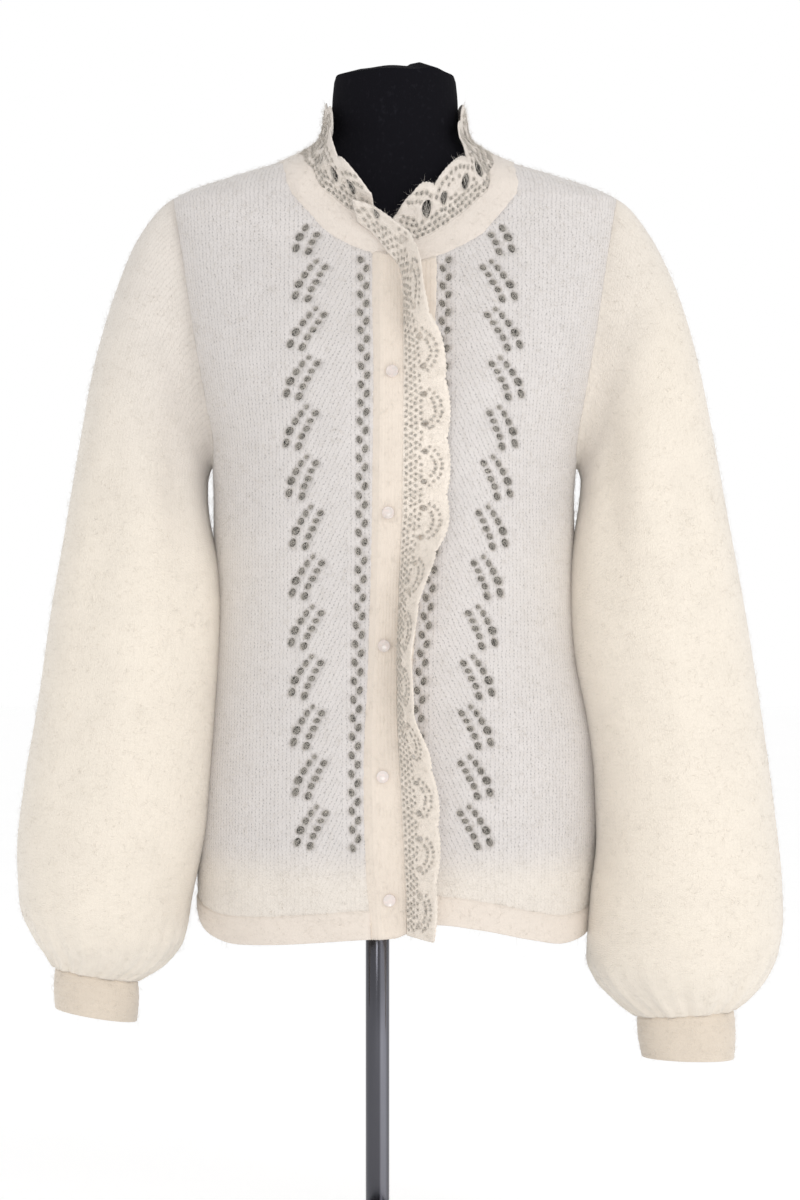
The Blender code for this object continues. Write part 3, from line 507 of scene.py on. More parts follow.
def angle_across(across, height):
    """The angle on the front of the body that lies at a distance across the front view."""
    right, left, _, _, blunt = read(BODY, height)
    share = np.clip(across / np.where(np.asarray(across) > 0, left, right), -1.0, 1.0)
    return np.degrees(np.arcsin(signed_power(share, blunt / 2)))


def neck_angle(bearing, height):
    """The section's own angle for a direction round the neck as seen from above, in radians."""
    right, left, front, back, blunt = read(BODY, height)
    sine, cosine = np.sin(bearing), np.cos(bearing)
    across = signed_power(sine / np.where(sine > 0, left, right), blunt / 2)
    along = signed_power(cosine / np.where(cosine > 0, front, back), blunt / 2)
    return np.degrees(np.arctan2(across, along)) % 360


def to_flat(degrees, height):
    """Flat pattern: length round the body, and height with the shoulder slope laid out."""
    above = np.maximum(0.0, height - SLOPE_START)
    return np.stack((np.radians(degrees) * FLAT_RADIUS, height + above * (SHOULDER_STRETCH - 1)), axis=-1)


def from_flat(flat):
    """Bearings and heights of flat points."""
    above = np.maximum(0.0, flat[..., 1] - SLOPE_START)
    height = flat[..., 1] - above * (1 - 1 / SHOULDER_STRETCH)
    return np.degrees(flat[..., 0] / FLAT_RADIUS), height


def place_on_body(flat):
    """Flat points on the worn shape."""
    return body(*from_flat(flat))


class RoundTheBody:
    """Lengths round the worn shape from the middle of the front, so that stitches keep their size."""

    heights = np.linspace(0.25, 0.95, 141)
    degrees = np.linspace(-190.0, 370.0, 1121)

    def __init__(self):
        height, degrees = np.meshgrid(self.heights, self.degrees, indexing="ij")
        strides = np.linalg.norm(np.diff(oval(degrees, height), axis=1), axis=-1)
        walked = np.concatenate((np.zeros((len(self.heights), 1)), np.cumsum(strides, axis=1)), axis=1)
        start = int(np.searchsorted(self.degrees, 0.0))
        self.walked = walked - walked[:, start:start + 1]

    def length(self, degrees, height):
        row = (height - self.heights[0]) / (self.heights[1] - self.heights[0])
        column = (degrees - self.degrees[0]) / (self.degrees[1] - self.degrees[0])
        i = np.clip(row.astype(int), 0, len(self.heights) - 2)
        j = np.clip(column.astype(int), 0, len(self.degrees) - 2)
        p, q = row - i, column - j
        table = self.walked
        low = table[i, j] * (1 - q) + table[i, j + 1] * q
        high = table[i + 1, j] * (1 - q) + table[i + 1, j + 1] * q
        return low * (1 - p) + high * p


ROUND = RoundTheBody()


def stitch_place(flat):
    """Where a flat point lies in metres of knitting, across and up."""
    degrees, height = from_flat(flat)
    return np.stack((ROUND.length(degrees, height), flat[..., 1]), axis=-1)


# The neckline measured out from the left front's end to the right front's end
NECK_START = float(angle_across(read(LEFT_FRONT, NECK_LEVEL)[0] - UNDER_PLACKET, NECK_LEVEL))
NECK_END = 360 + float(angle_across(read(PLACKET_EDGE, NECK_LEVEL)[0], NECK_LEVEL))
NECK_TURNS = np.linspace(NECK_START, NECK_END, 361)
NECK_STRIDES = np.linalg.norm(np.diff(oval(NECK_TURNS, band_top(NECK_TURNS)), axis=0), axis=1)
NECK_WALKED = np.concatenate(([0.0], np.cumsum(NECK_STRIDES)))
COLLAR_STOP = 360 + float(angle_across(COLLAR_END, band_top(angle_across(COLLAR_END, 0.83))))
COLLAR_LENGTH = float(np.interp(COLLAR_STOP, NECK_TURNS, NECK_WALKED))


def angle_along_neck(length):
    """Bearing at a length along the collar's foot."""
    return np.interp(length, NECK_WALKED, NECK_TURNS)


def overlap_lift(degrees):
    """How far a band at this turn round the neck lies out, to pass over its own start."""
    return (BAND_WALL + LAYER_GAP) * smooth_step(degrees, 300.0, 345.0)


# Cloth walls

SKINS = {}
EYELETS = {}


def shell_piece(name, outer, inner, faces, corner_uv, material, behind=0.0):
    """A cloth wall from its two skins, closed along every edge, with its stitches' place as UV map."""
    count, corners = len(outer), faces.shape[1]
    pairs = [(int(face[i - 1]), int(face[i])) for face in faces for i in range(corners)]
    known = set(pairs)
    rims = np.array([(b, a, a + count, b + count) for a, b in pairs if (b, a) not in known])
    vertex_uv = np.zeros((2 * count, 2))
    vertex_uv[faces.ravel()] = corner_uv.reshape(-1, 2)
    vertex_uv[count:] = vertex_uv[:count]
    mesh = bpy.data.meshes.new(name)
    everything = faces.tolist() + (faces[:, ::-1] + count).tolist() + rims.tolist()
    mesh.from_pydata(np.concatenate((outer, inner)).tolist(), [], everything)
    layer = mesh.uv_layers.new(name="stitch")
    loops = np.concatenate((
        corner_uv.reshape(-1, 2), corner_uv[:, ::-1].reshape(-1, 2), vertex_uv[rims].reshape(-1, 2),
    ))
    layer.data.foreach_set("uv", loops.ravel())
    shown = mesh.attributes.new("behind", "FLOAT", "POINT")
    shown.data.foreach_set("value", np.tile(np.broadcast_to(behind, count), 2))
    mesh.shade_smooth()
    mesh.materials.append(material)
    piece = bpy.data.objects.new(name, mesh)
    bpy.context.scene.collection.objects.link(piece)
    SKINS[name] = (outer, unit(outer - inner), faces)
    return piece


def edge_points(faces, count):
    """Which points lie on a cut edge."""
    pairs = np.stack((faces, np.roll(faces, -1, axis=1)), axis=-1).reshape(-1, 2)
    codes = pairs[:, 0] * count + pairs[:, 1]
    backs = pairs[:, 1] * count + pairs[:, 0]
    alone = pairs[~np.isin(codes, backs)]
    found = np.zeros(count, dtype=bool)
    found[alone.ravel()] = True
    return found


KNIT_LIP = 0.45
LACE_LIP = 0.5
NUDGE = 0.0002


def cloth_piece(
    name, flat, faces, place, wall, material, lip=KNIT_LIP, relief=None, corner_uv=None, behind=0.0,
):
    """A cloth wall carried onto a shape by place(flat), thinner and rounded along its cut edges."""
    along = place(flat + (NUDGE, 0.0)) - place(flat - (NUDGE, 0.0))
    across = place(flat + (0.0, NUDGE)) - place(flat - (0.0, NUDGE))
    normal = unit(np.cross(along, across))
    points = place(flat)
    if relief is not None:
        points = points + normal * relief(flat)[:, None]
    share = np.where(edge_points(faces, len(flat)), lip, 1.0)[:, None]
    outer = points - normal * wall * (1 - share) / 2
    inner = points - normal * wall * (1 + share) / 2
    if corner_uv is None:
        corner_uv = flat[faces]
    return shell_piece(name, outer, inner, faces, corner_uv, material, behind)


def grid(us, vs):
    """Flat points of a strip and its faces."""
    flat = np.stack(np.meshgrid(us, vs), axis=-1).reshape(-1, 2)
    wide = len(us)
    first = (np.arange(len(vs) - 1)[:, None] * wide + np.arange(wide - 1)).ravel()
    return flat, np.stack((first, first + 1, first + wide + 1, first + wide), axis=-1)


def inside(points, loop):
    """Whether flat points lie inside a closed outline."""
    found = np.zeros(len(points), dtype=bool)
    for (ax, ay), (bx, by) in zip(loop, np.roll(loop, -1, axis=0)):
        crossing = (ay > points[:, 1]) != (by > points[:, 1])
        if ay != by:
            found ^= crossing & (points[:, 0] < (bx - ax) * (points[:, 1] - ay) / (by - ay) + ax)
    return found


def lattice(outline, holes, step):
    """Staggered points over an outline, clear of its edge and of the holes."""
    low, high = outline.min(axis=0), outline.max(axis=0)
    rows = np.arange(low[1], high[1], step * 0.87)
    columns = np.arange(low[0], high[0] + step, step)
    points = np.stack(np.meshgrid(columns, rows), axis=-1)
    points[1::2, :, 0] -= step / 2
    points = points.reshape(-1, 2)
    points = points[inside(points, outline)]
    taken = np.concatenate([outline] + holes)
    tree = kdtree.KDTree(len(taken))
    for index, (u, v) in enumerate(taken):
        tree.insert((u, v, 0.0), index)
    tree.balance()
    free = np.array([tree.find((u, v, 0.0))[2] > step * 0.42 for u, v in points])
    points = points[free]
    for hole in holes:
        middle = hole.mean(axis=0)
        reach = np.linalg.norm(hole - middle, axis=1).max()
        points = points[np.linalg.norm(points - middle, axis=1) > reach]
    return points


def cut_pattern(outline, holes, step):
    """Flat points and triangles of a cloth piece cut from an outline, with its holes left open."""
    loops = [outline] + holes
    owners = [number for number, loop in enumerate(loops) for _ in loop]
    edges = []
    for loop in loops:
        start = len(edges)
        edges += [(start + i, start + (i + 1) % len(loop)) for i in range(len(loop))]
    points = np.concatenate(loops + [lattice(outline, holes, step)])
    owners += [0] * (len(points) - len(owners))
    made, _, faces, sources, _, _ = delaunay_2d_cdt([Vector(p) for p in points], edges, [], 1, 1e-9)
    owner = [owners[source[0]] for source in sources]
    kept = [face for face in faces if owner[face[0]] == 0 or len({owner[corner] for corner in face}) > 1]
    return np.array([(point.x, point.y) for point in made]), np.array(kept)


def round_hole(width, height, sides=12, slant=0.0):
    """A hole's outline about its middle."""
    turn = 2 * np.pi * np.arange(sides) / sides
    rise = 0.5 * height * np.cos(turn)
    return np.stack((0.5 * width * np.sin(turn) + slant * rise, rise), axis=-1)


def tube_piece(name, rings, wall, material, width, length, side, behind=0.0, lip=0.5):
    """A cloth tube through rings of points, with its stitches counted round width and along length."""
    count, sides = rings.shape[:2]
    around = np.roll(rings, -1, axis=1) - np.roll(rings, 1, axis=1)
    normal = unit(np.cross(np.gradient(rings, axis=0), around)) * -side
    share = np.ones((count, 1, 1))
    share[0] = share[-1] = lip
    outer = (rings - normal * wall * (1 - share) / 2).reshape(-1, 3)
    inner = (rings - normal * wall * (1 + share) / 2).reshape(-1, 3)
    row, column = np.meshgrid(np.arange(count - 1), np.arange(sides), indexing="ij")
    following = (column + 1) % sides
    corners = ((row, column), (row, following), (row + 1, following), (row + 1, column))
    faces = np.stack([(r * sides + c).ravel() for r, c in corners], axis=-1)
    steps = ((0, 0), (0, 1), (1, 1), (1, 0))
    corner_uv = np.stack([
        np.stack(((column + c) / sides * width, (row + r) / (count - 1) * length), axis=-1).reshape(-1, 2)
        for r, c in steps
    ], axis=1)
    if side < 0:
        faces, corner_uv = faces[:, ::-1], corner_uv[:, ::-1]
    return shell_piece(name, outer, inner, faces, corner_uv, material, np.ravel(behind))


def finish_cloth(piece, node):
    """Attaches a cloth piece to the root and hides its node's part from the CAD frame."""
    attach(piece, "root")
    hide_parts(node)


# Materials

def add_node(tree, kind, inputs=None, **settings):
    """A node with its settings, and its sockets joined to others or set to values."""
    made = tree.nodes.new(kind)
    for name, value in settings.items():
        setattr(made, name, value)
    for socket, value in (inputs or {}).items():
        if isinstance(value, bpy.types.NodeSocket):
            tree.links.new(value, made.inputs[socket])
        else:
            made.inputs[socket].default_value = value
    return made


def calc(tree, operation, *values):
    """Output of a new math node."""
    return add_node(tree, "ShaderNodeMath", dict(enumerate(values)), operation=operation).outputs[0]


def between(tree, value, low, high):
    """Rises smoothly from 0 to 1 as value goes from low to high."""
    inputs = {"Value": value, "From Min": low, "From Max": high}
    return add_node(tree, "ShaderNodeMapRange", inputs, interpolation_type="SMOOTHSTEP").outputs[0]


def blend(tree, share, first, second, kind="MIX"):
    """Output of a new colour mix."""
    inputs = {0: share, 6: first, 7: second}
    return add_node(tree, "ShaderNodeMix", inputs, data_type="RGBA", blend_type=kind).outputs[2]


def noise(tree, place, scale, detail):
    """Output of a new noise texture."""
    inputs = {"Vector": place, "Scale": scale, "Detail": detail}
    return add_node(tree, "ShaderNodeTexNoise", inputs).outputs["Fac"]


def bare_material(name, colour, roughness):
    """A new material, its node tree and its shader."""
    made = bpy.data.materials.new(name)
    made.use_nodes = True
    made.diffuse_color = (*colour, 1.0)
    tree = made.node_tree
    shader = tree.nodes["Principled BSDF"]
    shader.inputs["Base Color"].default_value = (*colour, 1.0)
    shader.inputs["Roughness"].default_value = roughness
    return made, tree, shader


# Wavering of the stitches, in the noise's scale and in stitches
WAVER_SCALE = 210.0
WAVER_REACH = (1.2, 2.0)
LEG_SLANT = 0.55
CLOUD_SCALE = 38.0
FLUFF_SCALE = 620.0
# Painted shade in the stitches' gaps: the share of the yarn's colour left there where nothing lies behind,
# and of the grey over the form where the form does
YARN_SHADE = 0.80
FORM_SHADE = 0.24
GAP_OVER_FORM = 0.65
GAP_ALWAYS = 0.35
RELIEF_DEPTH = 0.0007
# Finish of each yarn: share of its gaps that shows, strength of its relief, sheen
KNIT_FINISH = (0.66, 0.40, 0.7)
BAND_FINISH = (0.25, 0.25, 0.6)
LACE_FINISH = (0.40, 0.55, 0.4)
LACE_STITCH = 0.8


def knit_heights(tree, stitch):
    """Height of the yarn's legs, and the gaps between them, in the UV map's stitches."""
    place = add_node(tree, "ShaderNodeUVMap", uv_map="stitch").outputs[0]
    waving = {"Vector": place, "Scale": WAVER_SCALE, "Detail": 2.0}
    waver = add_node(tree, "ShaderNodeTexNoise", waving).outputs["Color"]
    reach = (stitch[0] * WAVER_REACH[0], stitch[1] * WAVER_REACH[1], 0.0)
    shifted = {0: waver, 1: reach, 2: place}
    uneven = add_node(tree, "ShaderNodeVectorMath", shifted, operation="MULTIPLY_ADD")
    split = add_node(tree, "ShaderNodeSeparateXYZ", {0: uneven.outputs[0]})
    wales = calc(tree, "DIVIDE", split.outputs[0], stitch[0])
    courses = calc(tree, "DIVIDE", split.outputs[1], stitch[1])
    middle = calc(tree, "MULTIPLY", calc(tree, "PINGPONG", wales, 0.5), 2.0)
    row = calc(tree, "FRACT", calc(tree, "MULTIPLY_ADD", middle, LEG_SLANT, courses))
    ridge = calc(tree, "SINE", calc(tree, "MULTIPLY", row, math.pi))
    leg = calc(tree, "SINE", calc(tree, "MULTIPLY", middle, math.pi))
    height = calc(tree, "MULTIPLY", ridge, calc(tree, "MULTIPLY_ADD", leg, 0.65, 0.35))
    between_rows = calc(tree, "SUBTRACT", 1.0, between(tree, ridge, 0.15, 0.75))
    beside_wale = calc(tree, "SUBTRACT", 1.0, between(tree, middle, 0.06, 0.48))
    opened = calc(tree, "MULTIPLY_ADD", between_rows, 0.72, 0.28)
    centre = calc(tree, "MULTIPLY", between(tree, middle, 0.72, 1.0), 0.3)
    in_wale = calc(tree, "MULTIPLY", centre, between_rows)
    gap = calc(tree, "MAXIMUM", calc(tree, "MULTIPLY", beside_wale, opened), in_wale)
    return height, gap


def mohair(name, yarn, through, stitch, gap_share, relief, sheen):
    """Fuzzy yarn in the UV map's stitches, its gaps darkened with painted shade, and greyer and darker in
    its gaps where the form lies behind it.
    """
    made, tree, shader = bare_material(name, yarn, 0.95)
    height, gap = knit_heights(tree, stitch)
    behind = add_node(tree, "ShaderNodeAttribute", attribute_name="behind").outputs["Fac"]
    spot = add_node(tree, "ShaderNodeTexCoord").outputs["Object"]
    cloud = noise(tree, spot, CLOUD_SCALE, 3.0)
    fluff = noise(tree, spot, FLUFF_SCALE, 3.0)
    base = blend(tree, behind, (*yarn, 1.0), (*through, 1.0))
    shaded = tuple(c * YARN_SHADE for c in yarn) + (1.0,)
    form_seen = tuple(c * FORM_SHADE for c in through) + (1.0,)
    shadow = blend(tree, behind, shaded, form_seen)
    opened = calc(tree, "MULTIPLY_ADD", behind, gap_share * GAP_OVER_FORM, gap_share * GAP_ALWAYS)
    open_gap = calc(tree, "MULTIPLY", gap, opened)
    thin = calc(tree, "MULTIPLY", open_gap, between(tree, fluff, 0.25, 0.62))
    colour = blend(tree, thin, base, shadow)
    clouded = calc(tree, "MULTIPLY_ADD", cloud, 0.12, 0.90)
    light = calc(tree, "ADD", clouded, calc(tree, "MULTIPLY", fluff, 0.08))
    grey = add_node(tree, "ShaderNodeCombineColor", {0: light, 1: light, 2: light}).outputs[0]
    tree.links.new(blend(tree, 1.0, colour, grey, "MULTIPLY"), shader.inputs["Base Color"])
    raised = calc(tree, "ADD", height, calc(tree, "MULTIPLY", fluff, 0.9))
    embossed = {"Strength": relief, "Distance": RELIEF_DEPTH, "Height": raised}
    bump = add_node(tree, "ShaderNodeBump", embossed)
    tree.links.new(bump.outputs[0], shader.inputs["Normal"])
    shader.inputs["Specular IOR Level"].default_value = 0.15
    shader.inputs["Sheen Weight"].default_value = sheen
    shader.inputs["Sheen Roughness"].default_value = 0.55
    shader.inputs["Sheen Tint"].default_value = (1.0, 0.97, 0.93, 1.0)
    return made


def kept_material(name, make, *values):
    """A material by its name, made once."""
    return bpy.data.materials.get(name) or make(name, *values)


def yarn_material(name, colour, stitch, finish):
    """A yarn's material by its name, with the colour that it has over the form."""
    over_form = tuple(bpy.context.scene.cardigan_yarn.over_form)
    return kept_material(name, mohair, tuple(colour), over_form, stitch, *finish)


def knit_material():
    """Sheer knitting of the panels and the sleeves."""
    yarn = bpy.context.scene.cardigan_yarn
    stitch = (yarn.stitch_width, yarn.stitch_height)
    return yarn_material("mohair_knit", yarn.colour, stitch, KNIT_FINISH)


def band_material():
    """Double knitting of the hem, the neckband and the plackets."""
    yarn = bpy.context.scene.cardigan_yarn
    stitch = (yarn.band_stitch, yarn.band_stitch)
    return yarn_material("mohair_band", yarn.band_colour, stitch, BAND_FINISH)


def cuff_material():
    """Double knitting of the cuffs, in the bands' cream darkened with painted shade."""
    yarn = bpy.context.scene.cardigan_yarn
    stitch = (yarn.band_stitch, yarn.band_stitch)
    return yarn_material("mohair_cuff", yarn.cuff_painted_shade_colour, stitch, BAND_FINISH)


def lace_material():
    """Crochet of the collar and the edging."""
    yarn = bpy.context.scene.cardigan_yarn
    stitch = (yarn.band_stitch, yarn.band_stitch * LACE_STITCH)
    return yarn_material("crochet_yarn", yarn.lace_colour, stitch, LACE_FINISH)


def plain_fibre(name, colour):
    """Matt loose hairs, some a little darker."""
    made, tree, shader = bare_material(name, colour, 0.7)
    spot = add_node(tree, "ShaderNodeTexCoord").outputs["Object"]
    shade = between(tree, noise(tree, spot, 90.0, 2.0), 0.2, 0.8)
    darker = tuple(c * 0.88 for c in colour) + (1.0,)
    tree.links.new(blend(tree, shade, darker, (*colour, 1.0)), shader.inputs["Base Color"])
    shader.inputs["Specular IOR Level"].default_value = 0.2
    return made


def pearl(name, colour):
    """Pearly plastic: cloudy, glossy and a little pink and green at a slant."""
    made, tree, shader = bare_material(name, colour, 0.16)
    spot = add_node(tree, "ShaderNodeTexCoord").outputs["Object"]
    cloud = noise(tree, spot, 420.0, 4.0)
    cool = (colour[0] * 0.90, colour[1] * 0.97, colour[2] * 0.97, 1.0)
    share = between(tree, cloud, 0.35, 0.65)
    tree.links.new(blend(tree, share, cool, (*colour, 1.0)), shader.inputs["Base Color"])
    tree.links.new(calc(tree, "MULTIPLY_ADD", cloud, 0.12, 0.10), shader.inputs["Roughness"])
    shader.inputs["Coat Weight"].default_value = 0.6
    shader.inputs["Coat Roughness"].default_value = 0.06
    shader.inputs["Sheen Weight"].default_value = 0.2
    shader.inputs["Sheen Tint"].default_value = (1.0, 0.82, 0.9, 1.0)
    return made


def jersey(name, colour):
    """Matt black stretch jersey with fine wales and a little dust."""
    made, tree, shader = bare_material(name, colour, 0.9)
    spot = add_node(tree, "ShaderNodeTexCoord").outputs["Object"]
    dust = between(tree, noise(tree, spot, 260.0, 5.0), 0.55, 0.85)
    pale = tuple(c * 1.8 + 0.002 for c in colour) + (1.0,)
    tree.links.new(blend(tree, dust, (*colour, 1.0), pale), shader.inputs["Base Color"])
    waving = {"Vector": spot, "Scale": 260.0, "Distortion": 0.6}
    wales = add_node(tree, "ShaderNodeTexWave", waving, bands_direction="X")
    raised = calc(tree, "ADD", wales.outputs["Fac"], noise(tree, spot, 900.0, 2.0))
    bump = add_node(tree, "ShaderNodeBump", {"Strength": 0.25, "Distance": 0.0004, "Height": raised})
    tree.links.new(bump.outputs[0], shader.inputs["Normal"])
    shader.inputs["Specular IOR Level"].default_value = 0.06
    return made


def chrome_painted_reflection(name, colour):
    """Polished steel with faint lengthwise polishing lines and finger marks. Its dark colour is a painted
    reflection of dark surroundings, and a lighter upright strip on one side of the pole is a painted
    reflection of a light.
    """
    made, tree, shader = bare_material(name, colour, 0.14)
    spot = add_node(tree, "ShaderNodeTexCoord").outputs["Object"]
    drawn = add_node(tree, "ShaderNodeMapping", {"Vector": spot, "Scale": (900.0, 900.0, 6.0)}).outputs[0]
    lines = noise(tree, drawn, 1.0, 3.0)
    marks = noise(tree, spot, 24.0, 4.0)
    uneven = calc(tree, "ADD", calc(tree, "MULTIPLY", lines, 0.06), calc(tree, "MULTIPLY", marks, 0.16))
    tree.links.new(calc(tree, "ADD", uneven, 0.04), shader.inputs["Roughness"])
    # Painted reflection: a lighter upright strip down one side of the pole, with the rest of the pole and
    # the base painted darker
    split = add_node(tree, "ShaderNodeSeparateXYZ", {0: spot})
    rising = between(tree, split.outputs[0], POLE_RADIUS * 0.12, POLE_RADIUS * 0.35)
    falling = between(tree, split.outputs[0], POLE_RADIUS * 0.62, POLE_RADIUS * 0.95)
    strip = calc(tree, "MULTIPLY", rising, calc(tree, "SUBTRACT", 1.0, falling))
    on_pole = between(tree, split.outputs[2], BASE_DEPTH, BASE_DEPTH + 0.004)
    painted_reflection_colour = tuple(c * 2.0 for c in colour) + (1.0,)
    shade = tuple(c * 0.8 for c in colour) + (1.0,)
    painted_reflection = blend(tree, calc(tree, "MULTIPLY", strip, on_pole), shade, painted_reflection_colour)
    tree.links.new(painted_reflection, shader.inputs["Base Color"])
    shader.inputs["Metallic"].default_value = 1.0
    return made


def floor_paint(name, colour):
    """Plain white floor with a little glow."""
    made, tree, shader = bare_material(name, colour, 0.8)
    spot = add_node(tree, "ShaderNodeTexCoord").outputs["Object"]
    shade = between(tree, noise(tree, spot, 3.0, 3.0), 0.0, 1.0)
    paler = tuple(min(1.0, c * 1.03) for c in colour) + (1.0,)
    tree.links.new(blend(tree, shade, (*colour, 1.0), paler), shader.inputs["Base Color"])
    shader.inputs["Emission Color"].default_value = (1.0, 1.0, 1.0, 1.0)
    shader.inputs["Emission Strength"].default_value = bpy.context.scene.cardigan_studio.floor_glow
    return made


# Fronts and back

EDGE_STEP = 0.003
PANEL_STEP = 0.0048
LACE_STEP = 0.0022
SLEEVE_SIDES = 144
SLEEVE_RINGS = 150
SHOULDER_POINTS = 28
LEAF_NECK_GAP = 0.006
LEAF_SLANT = 0.2
# What shows of the form through the knitting, and below the form a painted shade of the cardigan's dim
# inside
SIDE_FADE = 0.45
EASE_FADE = (0.012, 0.022)
BELOW_FORM_SHADE = 0.42
HEM_FADE = (0.022, 0.014)


def spaced(start, end, length, step=EDGE_STEP):
    """Evenly spaced values, about a step apart along a length."""
    return np.linspace(start, end, max(3, round(float(length) / step) + 1))


def armhole_edge(side, part):
    """Armhole from armpit to shoulder tip, on the front (part 1) or the back (part -1)."""
    reach = ARMHOLE_FRONT if part > 0 else ARMHOLE_BACK
    middle, half = (ARMPIT + SHOULDER_TIP) / 2, (SHOULDER_TIP - ARMPIT) / 2
    turn = np.linspace(0, np.pi, SLEEVE_SIDES // 2 + 1)
    degrees = side * (90 - part * reach * np.sin(turn) ** ARMHOLE_ROUND)
    return np.stack((degrees, middle - half * np.cos(turn)), axis=-1)


def upright(degrees, heights):
    """A line of points at one bearing."""
    return np.stack((np.full(len(heights), degrees), heights), axis=-1)


def front_outline(lines, side):
    """Cut edge of a front on the flat pattern."""
    gap = side * math.degrees(SLIT / 2 / FLAT_RADIUS)
    end = side * 90 - gap
    low, high = float(hem_height(6)) + HEM_BAND - TUCK, float(neck_height(6)) + TUCK
    heights = spaced(low, high, high - low)
    seam = np.stack((angle_across(read(lines, heights)[0] - side * TUCK, heights), heights), axis=-1)
    turns = spaced(seam[0, 0], end, math.radians(90) * FLAT_RADIUS)
    hem = np.stack((turns, hem_height(turns) + HEM_BAND - TUCK), axis=-1)
    side_seam = upright(end, spaced(hem[-1, 1], ARMPIT, ARMPIT - hem[-1, 1]))
    armhole = armhole_edge(side, 1) - (gap, 0.0)
    turns = spaced(end, seam[-1, 0], 0.17)
    neck = np.stack((turns, neck_height(turns) + TUCK), axis=-1)
    shoulder = upright(end, np.linspace(SHOULDER_TIP, neck[0, 1], SHOULDER_POINTS))
    edge = np.concatenate((hem, side_seam[1:-1], armhole, shoulder[1:-1], neck[:-1], seam[:0:-1]))
    return to_flat(edge[:, 0], edge[:, 1])


def front_hole(across, height, shape):
    """A hole of that shape in the front view, on the flat pattern."""
    xs, zs = across + shape[:, 0], height + shape[:, 1]
    return to_flat(angle_across(xs, zs), zs)


def front_holes(lines, side):
    """Eyelets of a front: its zigzag and its leaves."""
    holes = []
    for i in range(int((ZIGZAG_HIGH - ZIGZAG_LOW) / ZIGZAG_STEP) + 1):
        height = ZIGZAG_LOW + i * ZIGZAG_STEP
        turn = 1 if i % 2 else -1
        across = read(lines, height)[1] - side * turn * ZIGZAG_SWING
        shape = round_hole(*ZIGZAG_HOLE, slant=-side * turn * ZIGZAG_SLANT)
        holes.append(front_hole(across, height, shape))
    for leaf in range(LEAF_COUNT):
        for inward, up, width, tall in LEAF_HOLES:
            height = LEAF_LOW + leaf * LEAF_STEP + up
            across = read(lines, height)[2] - side * inward
            if height < neck_height(angle_across(across, height)) - LEAF_NECK_GAP:
                shape = round_hole(width, tall, slant=-side * LEAF_SLANT)
                holes.append(front_hole(across, height, shape))
    return holes


def front_stitches(flat, faces, lines, side):
    """Corners in metres of knitting, leaning to the placket between the leaves and the zigzag."""
    corners = stitch_place(flat[faces])
    middles = flat[faces].mean(axis=1)
    degrees, height = from_flat(middles)
    across = oval(degrees, height)[:, 0] - CENTRE_X
    _, zigzag, leaf = read(lines, height)
    start, stop, lean = SLANTED_STITCHES
    inward = side * (leaf - across)
    slanted = (inward > start) & (inward < side * (leaf - zigzag) - stop)
    turn = math.radians(lean) * -side
    u, v = corners[..., 0], corners[..., 1]
    leaning = np.stack((
        u * math.cos(turn) - v * math.sin(turn), u * math.sin(turn) + v * math.cos(turn),
    ), axis=-1)
    return np.where(slanted[:, None, None], leaning, corners)


def form_behind(flat):
    """How much of the dark form shows through: less where the knitting stands off; below the form, painted
    shade of the cardigan's dim inside in its place.
    """
    degrees, height = from_flat(flat)
    beside, before, back = read(FORM_EASE, height)
    facing = np.cos(np.radians(degrees))
    ease = np.where(facing > 0, before, back) * facing ** 2 + beside * (1 - facing ** 2)
    sideways = (1 - facing ** 2) ** 2
    near = 1 - SIDE_FADE * sideways * smooth_step(ease, *EASE_FADE)
    # Below the form the grey is painted shade of the cardigan's dim inside
    over_form = smooth_step(height, FORM_BOTTOM - HEM_FADE[0], FORM_BOTTOM + HEM_FADE[1])
    return near * (BELOW_FORM_SHADE + (1 - BELOW_FORM_SHADE) * over_form)


def knit_front(name, node, lines, side):
    """A front with its eyelets."""
    holes = front_holes(lines, side)
    EYELETS[name] = (place_on_body, holes)
    flat, faces = cut_pattern(front_outline(lines, side), holes, PANEL_STEP)
    corner_uv = front_stitches(flat, faces, lines, side)
    behind = form_behind(flat)
    piece = cloth_piece(
        name, flat, faces, place_on_body, KNIT_WALL, knit_material(), corner_uv=corner_uv, behind=behind,
    )
    finish_cloth(piece, node)


def knit_back(name, node):
    """The plain back."""
    gap = math.degrees(SLIT / 2 / FLAT_RADIUS)
    start, end = 90 + gap, 270 - gap
    turns = spaced(start, end, math.pi * FLAT_RADIUS)
    hem = np.stack((turns, hem_height(turns) + HEM_BAND - TUCK), axis=-1)
    heights = spaced(hem[0, 1], ARMPIT, ARMPIT - hem[0, 1])
    neck = np.stack((turns, neck_height(turns) + TUCK), axis=-1)
    slope = np.linspace(SHOULDER_TIP, neck[0, 1], SHOULDER_POINTS)
    left_hole = armhole_edge(1, -1) + (gap, 0.0)
    right_hole = armhole_edge(-1, -1) + (360 - gap, 0.0)
    left = np.concatenate((upright(start, heights[1:-1]), left_hole, upright(start, slope[1:-1])))
    right = np.concatenate((upright(end, heights[1:-1]), right_hole, upright(end, slope[1:-1])))
    edge = np.concatenate((hem, right, neck[::-1], left[::-1]))
    flat, faces = cut_pattern(to_flat(edge[:, 0], edge[:, 1]), [], PANEL_STEP)
    behind = form_behind(flat)
    piece = cloth_piece(
        name, flat, faces, place_on_body, KNIT_WALL, knit_material(),
        corner_uv=stitch_place(flat[faces]), behind=behind,
    )
    finish_cloth(piece, node)


# Bands

HEM_PLUMP = 0.0008
HEM_ROWS = 34
